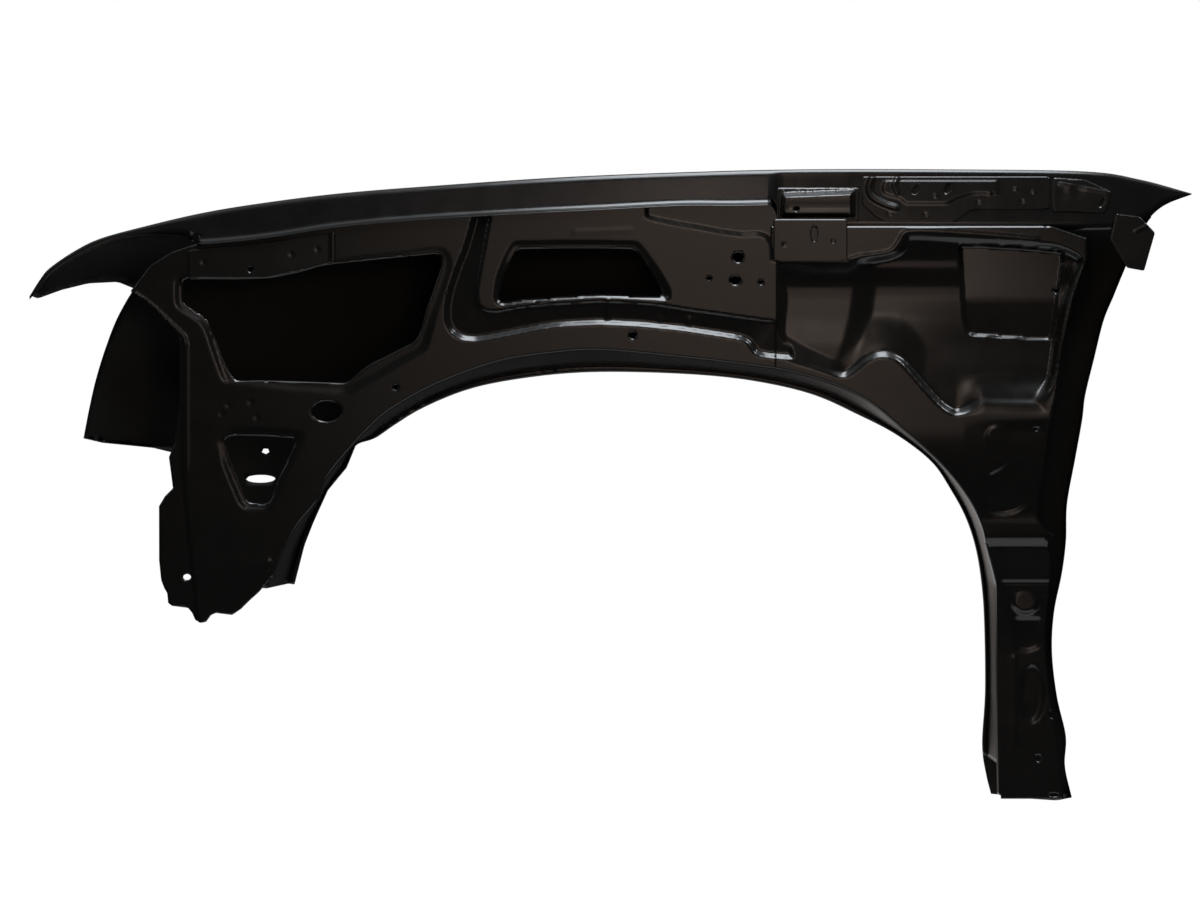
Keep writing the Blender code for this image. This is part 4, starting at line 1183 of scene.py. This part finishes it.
# %% [markdown]
# ## Leg inner panel
#
# The leg behind the wheel is closed by a narrow pressing with a round bump, a sunk square and an oval
# hollow. It laps behind the rear panel.

# %% Build the leg inner panel
LEG_EDGE = divide(
    place([
        (1003, 803), (1066, 803), (1065, 785), (1062, 762), (1059, 742), (1056, 722), (1052, 700),
        (1050, 682), (1048, 660), (1047, 645), (1048, 620), (1050, 600), (1052, 575), (1052, 560),
        (1050, 548), (1044, 538),
    ]),
    LINE_PITCH,
)
LEG_SQUARE = place([
    (1015, 618), (1044, 618), (1046, 634), (1043, 652), (1030, 657), (1017, 655), (1014, 640),
])
leg_pressings = [
    Pressing(smooth(LEG_SQUARE, 0.005), 0.0019, 0.0064, 0.45),
    Pressing(oval(1034, 697, 15, 31, 60), 0.0022, 0.0070, 0.45),
]


def leg_form(flat):
    """Depth of the leg: two hollows, a round bump on the inboard side, a groove across and a bead."""
    depth = 2 * LAYER + leg_depth(flat) + pressed(flat, leg_pressings)
    middle = place((1027, 604))[0]
    bump = ramp((0.0155 - np.linalg.norm((flat - middle) / [1.12, 1.0], axis=1)) / 0.0055, 0.4)
    depth += bump * (0.24 * (flat[:, 1] - middle[1]) - 0.0034)
    depth += bead(flat, place([(1005, 585), (1050, 585)]), 0.0012, 0.0032)
    depth += bead(flat, place([(1016, 660), (1016, 745)]), -0.0010, 0.0030)
    return np.column_stack([flat[:, 0], depth, flat[:, 1]])


def build_leg_panel(material):
    """The flat with its pressings, and the edge turned over the wheel."""
    top = LEG_EDGE[-1, 1]
    arch = arch_edge(across(900), 9.0, LEG_EDGE[0, 1])
    arch = arch[arch[:, 1] < top]
    corner = np.array([[arch[0, 0], top]])
    edge = np.concatenate([corner, arch, LEG_EDGE])
    holes = [oval(1055, 718, 4.2, 4.2), oval(1040, 762, 3, 3.4), oval(1056, 799, 5, 2)]
    sheet = lay_sheet(edge, holes, PANEL_PITCH, leg_pressings, [corner[0], LEG_EDGE[0], LEG_EDGE[-1]])
    skin = Skin(leg_form(sheet.flat), sheet.triangles)
    numbers = rim_of(sheet, arch)
    skin.carry_on(numbers, onto_lip(skin.at(numbers)))
    return add_piece("leg_inner_sheet", skin, "leg_inner_panel", material)


MATERIAL_LEG = primer("leg_primer", (0.0056, 0.0054, 0.0050), 0.22, 0.25)
build_leg_panel(MATERIAL_LEG)

# %% [markdown]
# ## Strips and brackets
#
# Six small pressings are welded over the joints: a strip along the front of the top edge, a slotted
# plate, a raised box that a spring or stay sits on, a plate that takes the bonnet hinge's bolts, a
# gusset at the crown, and a tab at the rear tip. Those on the leaning wall follow it at one sheet's
# distance.

# %% A strip or bracket on the panel or on the wall
BRACKET_PITCH = 0.0015


def build_bracket(name, replaces, outline, holes, pressings, material, on_wall, details=None, radius=0.003):
    """Lays the sheet one layer off its carrier, y = wall(x, z) - layer + depth, and adds its details."""
    edge = smooth(place(outline), radius, 0.003)
    sheet = lay_sheet(edge, holes, BRACKET_PITCH, pressings)
    flat = sheet.flat
    carrier = wall_depth(flat[:, 0], flat[:, 1]) if on_wall else np.zeros(len(flat))
    depth = carrier - LAYER + pressed(flat, pressings)
    if details is not None:
        depth = depth + details(flat)
    skin = Skin(np.column_stack([flat[:, 0], depth, flat[:, 1]]), sheet.triangles)
    return sheet, skin, lambda: add_piece(name, skin, replaces, material)


def weld_beads(flat, line, count, rise, radius, seed):
    """A rough weld: small uneven drops of metal strung along a line."""
    rng = np.random.default_rng(seed)
    share = np.sort(rng.random(count))
    along = np.linspace(0, 1, len(line))
    spots = np.column_stack([np.interp(share, along, line[:, axis]) for axis in (0, 1)])
    spots += rng.normal(0, radius * 0.25, spots.shape)
    total = np.zeros(len(flat))
    for spot, size in zip(spots, rng.uniform(0.6, 1.0, count)):
        share = np.clip(np.linalg.norm(flat - spot, axis=1) / (radius * size), 0, 1)
        total = np.minimum(total, -rise * size * (1 - share**2) ** 2)
    return total


# %% [markdown]
# ### Strip along the front
#
# A long strip doubles the sheet over the first window. It follows the flat face, so only its outline,
# a raised bead near its rear end and a few spot welds are drawn.

# %% Strip along the front top edge
MATERIAL_BRACKET = primer("bracket_primer", (0.0072, 0.0066, 0.0056), 0.19, 0.40)
MATERIAL_RAIL = primer("rail_primer", (0.0064, 0.0058, 0.0052), 0.22, 0.35)


def rail_details(flat):
    """A flat strip with a raised bead near its rear end, and three spot welds."""
    lift = place([(333, 231), (333, 264)])
    depth = bead(flat, lift, -0.0012, 0.0040)
    return depth + dimples(flat, place([(204, 262), (292, 254), (318, 249)]), 0.0006, 0.0040)


RAIL = [(189, 250), (189, 277), (268, 277), (310, 268), (336, 261), (336, 232), (280, 240), (240, 245)]
_, _, finish = build_bracket(
    "upper_rail_sheet", "front_upper_rail", RAIL, [oval(251, 269, 3, 3)], [],
    MATERIAL_RAIL, False, rail_details,
)
finish()

# %% [markdown]
# ### Slotted plate
#
# The slot in this plate lets a bolt sit a little higher or lower. The plate's foot is turned towards
# the panel, which stiffens it. The turn is the same carried-on edge as on the big panels.

# %% Slotted plate under the box
SLOTTED_PLATE = [(773, 219), (773, 260), (847, 260), (847, 219)]


def plate_details(flat):
    """A shallow hollow over the whole plate and a dimple beside its slot."""
    middle = place((810, 238))[0]
    across_share = np.clip((flat[:, 0] - middle[0]) / (40 * SQUARE), -1, 1)
    return 0.0008 * (1 - across_share**2) + dimples(flat, place([(784, 244)]), 0.0005, 0.0035)


sheet, skin, finish = build_bracket(
    "slotted_plate_sheet", "slotted_plate", SLOTTED_PLATE,
    [oval(814, 233.5, 3.1, 7.6, 28), oval(833, 241, 1.9, 1.9)], [], MATERIAL_BRACKET, False, plate_details,
)
numbers = rim_of(sheet, divide(place([(777, 260), (843, 260)]), 0.003))
turn_outboard(skin, numbers, 0.0045, 0.0020, (0, -0.8))
finish()

# %% [markdown]
# ### Raised box
#
# A shallow box stands on the leaning wall, and its face is upright, so the lean is taken away from it
# again. A rough weld joins it along the top. The weld is a row of small drops with uneven sizes, drawn
# by a random generator with a fixed seed, so that it comes out the same each time.

# %% Raised box for the stay
BOX_FLANGE = [(777, 188), (777, 222), (859, 222), (859, 188)]
BOX = [(780, 193), (780, 218), (855, 218), (855, 190)]


def box_details(flat):
    """A weld runs along the top of the box, its face stands upright and is a little hollow."""
    weld = weld_beads(flat, place([(781, 192.5), (815, 190.5), (853, 190)]), 18, 0.0009, 0.0024, 5)
    face = ramp(-near_loop(flat, smooth(place(BOX), 0.004), 0.0, 1.0)[0] / 0.0052, 0.42)
    upright = wall_lean(flat[:, 0]) * (height(206) - flat[:, 1]) * face
    return weld + upright + bead(flat, place([(790, 207), (848, 207)]), 0.0006, 0.0085)


_, _, finish = build_bracket(
    "hinge_box_sheet", "hinge_bracket_box", BOX_FLANGE, [oval(796, 209, 2.6, 2.2, 16)],
    [Pressing(smooth(place(BOX), 0.004), -0.0160, 0.0052, 0.42)], MATERIAL_BRACKET, True, box_details,
)
finish()

# %% [markdown]
# ### Hinge plate
#
# The bonnet's hinge is bolted through this plate, so it is swaged to keep it stiff and has two slanted
# oval bolt holes. The swages are curves through a few points, and the raised field beside them is a
# very shallow pressing towards the engine.

# %% Plate for the bonnet hinge's bolts
HINGE_PLATE = [
    (862, 177), (862, 204), (875, 216), (885, 222), (955, 222), (970, 211), (980, 209), (1050, 209),
    (1050, 177),
]
HINGE_BEAD = [
    (884, 179), (880, 186), (881, 194), (888, 198), (899, 200), (905, 206), (948, 206), (960, 200),
    (972, 196), (1000, 196), (1000, 179),
]


def hinge_details(flat):
    """An S-shaped swage and a short one beside the bolt holes, four raised marks and four spot welds."""
    swage = curve_through(place([(872, 179), (869, 188), (872, 197), (884, 204), (896, 208)]), 0.003)
    second = curve_through(place([(897, 179), (894, 186), (897, 193)]), 0.003)
    depth = bead(flat, swage, -0.0016, 0.0050) + bead(flat, second, -0.0010, 0.0038)
    depth += dimples(flat, place([(936, 196), (990, 194), (1016, 189), (1034, 192)]), -0.0006, 0.0032)
    return depth + dimples(flat, place([(889, 214), (925, 215), (978, 203), (1022, 202)]), 0.0005, 0.0036)


def tilted_oval(middle_across, middle_down, half_across, half_down, lean):
    """An oval bolt hole that leans to one side."""
    loop = oval(middle_across, middle_down, half_across, half_down, 24)
    middle = place((middle_across, middle_down))[0]
    return loop + np.column_stack([(loop - middle)[:, 1] * lean, np.zeros(len(loop))])


_, _, finish = build_bracket(
    "hinge_plate_sheet", "hinge_reinforcement_plate", HINGE_PLATE,
    [tilted_oval(916, 190, 2.8, 4.8, 0.45), tilted_oval(948, 189, 2.8, 4.8, 0.45)],
    [Pressing(smooth(place(HINGE_BEAD), 0.004), -0.0009, 0.0050, 0.42)],
    MATERIAL_BRACKET, True, hinge_details,
)
finish()

# %% [markdown]
# ### Gusset
#
# A small flat gusset ties the hinge plate to the rear end of the crown. Two broad and very shallow
# hollows give it the uneven shine of thin sheet that has been welded.

# %% Gusset at the crown
GUSSET = [(1053, 178), (1053, 212), (1106, 212), (1112, 192), (1085, 180)]


def gusset_details(flat):
    """Two soft hollows that catch the light, and a raised bead near the top edge."""
    hollow = dimples(flat, place([(1063, 195), (1078, 192)]), 0.0005, 0.0110)
    return hollow + bead(flat, place([(1060, 184), (1108, 193)]), -0.0007, 0.0030)


_, _, finish = build_bracket(
    "gusset_sheet", "corner_gusset", GUSSET, [tilted_oval(1102, 203, 1.8, 4.6, 0.5)], [],
    MATERIAL_BRACKET, True, gusset_details,
)
finish()

# %% [markdown]
# ### Tab
#
# The tab under the rear tip holds this end to the body. It is creased once and bent back a little.

# %% Tab at the rear tip
TAB = [(1116, 214), (1110, 240), (1127, 268), (1144, 271), (1155, 233), (1140, 217)]


def tab_details(flat):
    """A crease across the tab, whose foot is bent back a little."""
    depth = bead(flat, place([(1136, 231), (1151, 224)]), -0.0008, 0.0030)
    return depth + 0.10 * (height(240) - flat[:, 1])


_, _, finish = build_bracket(
    "rear_tab_sheet", "rear_tab_bracket", TAB, [], [], MATERIAL_RAIL, True, tab_details, 0.002
)
finish()

# %% [markdown]
# ## Camera
#
# The camera stands twelve metres away and three degrees above level, square to the panel, so the
# picture is nearly flat. Its frame is as wide as the drawing grid's 1200 squares.

# %% Camera
CAMERA_HEIGHT_ANGLE = math.radians(3)
CAMERA_DISTANCE = 12.0
FRAME_WIDTH = 1200 * SQUARE
middle = np.array([across(600) - DATUM[0], 0.0, float(height(450)) - DATUM[1]])
back = np.array([0.0, -math.cos(CAMERA_HEIGHT_ANGLE), math.sin(CAMERA_HEIGHT_ANGLE)])
camera_data = bpy.data.cameras.new("camera")
camera_data.sensor_width = 36
camera_data.lens = 36 * CAMERA_DISTANCE / FRAME_WIDTH
camera_data.clip_end = 100
camera = bpy.data.objects.new("camera", camera_data)
bpy.context.scene.collection.objects.link(camera)
camera.location = middle + back * CAMERA_DISTANCE
camera.rotation_euler = (math.pi / 2 - CAMERA_HEIGHT_ANGLE, 0, 0)
bpy.context.scene.camera = camera
bpy.context.scene.view_settings.view_transform = "Standard"
print(f"lens {camera_data.lens:.0f} mm at {CAMERA_DISTANCE} m")

# %% [markdown]
# ## Floor, room and lamps
#
# The floor is pale, and a little glow that only the camera sees brings it up to the white behind it
# without adding light to the steel. The backdrop is white for the camera on every side. Gloss sees it
# only low on the left behind the fender, because black primer shows each thing that stands around it.
# The room in front is dim. A soft box overhead draws thin bright lines along the bends, and a few warm
# panels in front, each with its own height and breadth, are what the flat faces mirror: they set
# where the steel looks brown and where it looks black.

# %% Floor
FLOOR_DROP = 0.62
FLOOR_HALF = 0.95
FLOOR_GLOW = 0.42
level = -DATUM[1] - FLOOR_DROP
corners = np.array([(-1, -1), (1, -1), (1, 1), (-1, 1)]) * FLOOR_HALF
floor_mesh = bpy.data.meshes.new("studio_floor")
floor_mesh.from_pydata(np.column_stack([corners, np.full(4, level)]), [], [(0, 1, 2, 3)])
floor = bpy.data.objects.new("studio_floor", floor_mesh)
bpy.context.scene.collection.objects.link(floor)
floor_material = bpy.data.materials.new("pale_floor")
floor_material.use_nodes = True
nodes, links = floor_material.node_tree.nodes, floor_material.node_tree.links
floor_shader = nodes["Principled BSDF"]
floor_shader.inputs["Base Color"].default_value = (0.80, 0.79, 0.77, 1)
floor_shader.inputs["Roughness"].default_value = 0.9
floor_shader.inputs["Emission Color"].default_value = (1, 1, 1, 1)
sight = nodes.new("ShaderNodeLightPath")
glow = nodes.new("ShaderNodeMath")
glow.operation = "MULTIPLY"
glow.inputs[1].default_value = FLOOR_GLOW
links.new(sight.outputs["Is Camera Ray"], glow.inputs[0])
links.new(glow.outputs[0], floor_shader.inputs["Emission Strength"])
floor_mesh.materials.append(floor_material)
print(f"the floor lies {FLOOR_DROP * 1000:.0f} mm under the foot")

# %% [markdown]
# ### Room
#
# The world's colour depends on the direction in which a ray leaves. Smooth steps along the three parts
# of that direction mark out the ceiling, the backdrop and a low grey patch, and no picture is needed.

# %% Room and backdrop
ROOM = (0.022, 0.022, 0.023)
CEILING = (0.55, 0.57, 0.60)
LOW_PATCH = (0.30, 0.27, 0.25)
world = bpy.data.worlds.new("studio")
bpy.context.scene.world = world
world.use_nodes = True
nodes, links = world.node_tree.nodes, world.node_tree.links
look = nodes.new("ShaderNodeTexCoord")
parts = nodes.new("ShaderNodeSeparateXYZ")
links.new(look.outputs["Generated"], parts.inputs[0])


def between(source, low, high):
    """A smooth step of one part of the direction, from 0 at low to 1 at high."""
    step = nodes.new("ShaderNodeMapRange")
    step.interpolation_type = "SMOOTHSTEP"
    step.inputs["From Min"].default_value = low
    step.inputs["From Max"].default_value = high
    links.new(source, step.inputs["Value"])
    return step.outputs["Result"]


def combine(operation, first, second):
    """A Math node on two sockets."""
    node = nodes.new("ShaderNodeMath")
    node.operation = operation
    links.new(first, node.inputs[0])
    links.new(second, node.inputs[1])
    return node.outputs[0]


def blend(share, low, high):
    """low * (1 - share) + high * share, where each is a colour or a socket."""
    mix = nodes.new("ShaderNodeMix")
    mix.data_type = "RGBA"
    links.new(share, mix.inputs["Factor"])
    for socket, value in (("A", low), ("B", high)):
        if isinstance(value, tuple):
            mix.inputs[socket].default_value = (*value, 1)
        else:
            links.new(value, mix.inputs[socket])
    return mix.outputs["Result"]


along, away, up = parts.outputs["X"], parts.outputs["Y"], parts.outputs["Z"]
behind = between(away, 0.10, 0.55)
upright = combine("MULTIPLY", between(up, -0.52, -0.38), between(up, -0.12, -0.22))
backdrop = combine("MULTIPLY", combine("MULTIPLY", behind, upright), between(along, -0.10, -0.55))
sill = combine("MULTIPLY", between(up, -0.34, -0.18), between(up, -0.04, -0.12))
low_patch = combine("MULTIPLY", combine("MULTIPLY", behind, sill), between(along, 0.0, -0.10))
room = blend(low_patch, blend(between(up, 0.55, 0.95), ROOM, CEILING), LOW_PATCH)
standing = blend(backdrop, room, (1, 1, 1))
rays = nodes.new("ShaderNodeLightPath")
seen = combine("MAXIMUM", rays.outputs["Is Camera Ray"], rays.outputs["Is Transmission Ray"])
mirrored = combine("MULTIPLY", rays.outputs["Is Glossy Ray"], backdrop)
links.new(blend(combine("MAXIMUM", seen, mirrored), standing, (1, 1, 1)), nodes["Background"].inputs["Color"])
nodes["Background"].inputs["Strength"].default_value = 1.0
print(f"the room takes {len(nodes)} nodes")

# %% [markdown]
# ### Lamps
#
# Each lamp is a rectangle with an even brightness, which makes its mirror image on the steel easy to
# foresee: its place gives the place of the shine, and its size the breadth of the shine.


# %% Lamps
def lamp_panel(name, place_at, aim_at, width, tall, brightness, colour=(1, 1, 1)):
    """A soft box of an even brightness L, so its power is pi * L * width * tall. No camera sees it."""
    data = bpy.data.lights.new(name, "AREA")
    data.shape = "RECTANGLE"
    data.size, data.size_y = width, tall
    data.energy, data.color = math.pi * brightness * width * tall, colour
    obj = bpy.data.objects.new(name, data)
    bpy.context.scene.collection.objects.link(obj)
    direction = Vector(aim_at) - Vector(place_at)
    obj.location = place_at
    obj.rotation_euler = direction.to_track_quat("-Z", "Y").to_euler()
    obj.visible_camera = False
    return obj


lamp_panel("top_box", (0.12, -0.80, 2.05), (0.12, 0, -0.10), 0.85, 2.0, 9.5, (0.90, 0.95, 1.0))
lamp_panel("right_box", (1.75, -0.95, 1.75), (0, 0, -0.15), 0.55, 0.55, 12.0, (0.94, 0.97, 1.0))
# Upright panels in front of the fender: name, x, y, z, width, height, brightness and colour.
UPRIGHT_PANELS = [
    ("low_panel", 0.090, -2.0, -0.255, 0.54, 0.51, 0.46, (1.0, 0.76, 0.62)),
    ("tall_panel", 0.085, -2.0, 0.275, 0.53, 0.55, 0.66, (1.0, 0.76, 0.62)),
    ("warm_strip", 0.085, -1.98, 0.200, 0.53, 0.24, 0.95, (1.0, 0.84, 0.74)),
    ("head_panel_front", -0.115, -2.0, 0.99, 0.13, 0.38, 1.15, (1.0, 0.78, 0.66)),
    ("head_panel_rear", 0.0, -2.0, 0.99, 0.10, 0.38, 2.40, (1.0, 0.78, 0.66)),
    ("dim_panel", -0.32, -2.0, 0.37, 0.28, 1.58, 0.21, (1.0, 0.80, 0.66)),
]
for name, x, y, z, width, tall, brightness, colour in UPRIGHT_PANELS:
    lamp_panel(name, (x, y, z), (x, 0, z), width, tall, brightness, colour)
lamp_panel("left_box", (-2.6, -1.2, 0.9), (-0.1, 0, -0.2), 1.0, 1.0, 0.6, (0.97, 0.98, 1.0))
lamp_panel("back_box", (0.8, 2.6, 1.8), (0, 0, -0.2), 1.6, 1.0, 3.0)
print("lamps:", ", ".join(sorted(light.name for light in bpy.data.lights)))
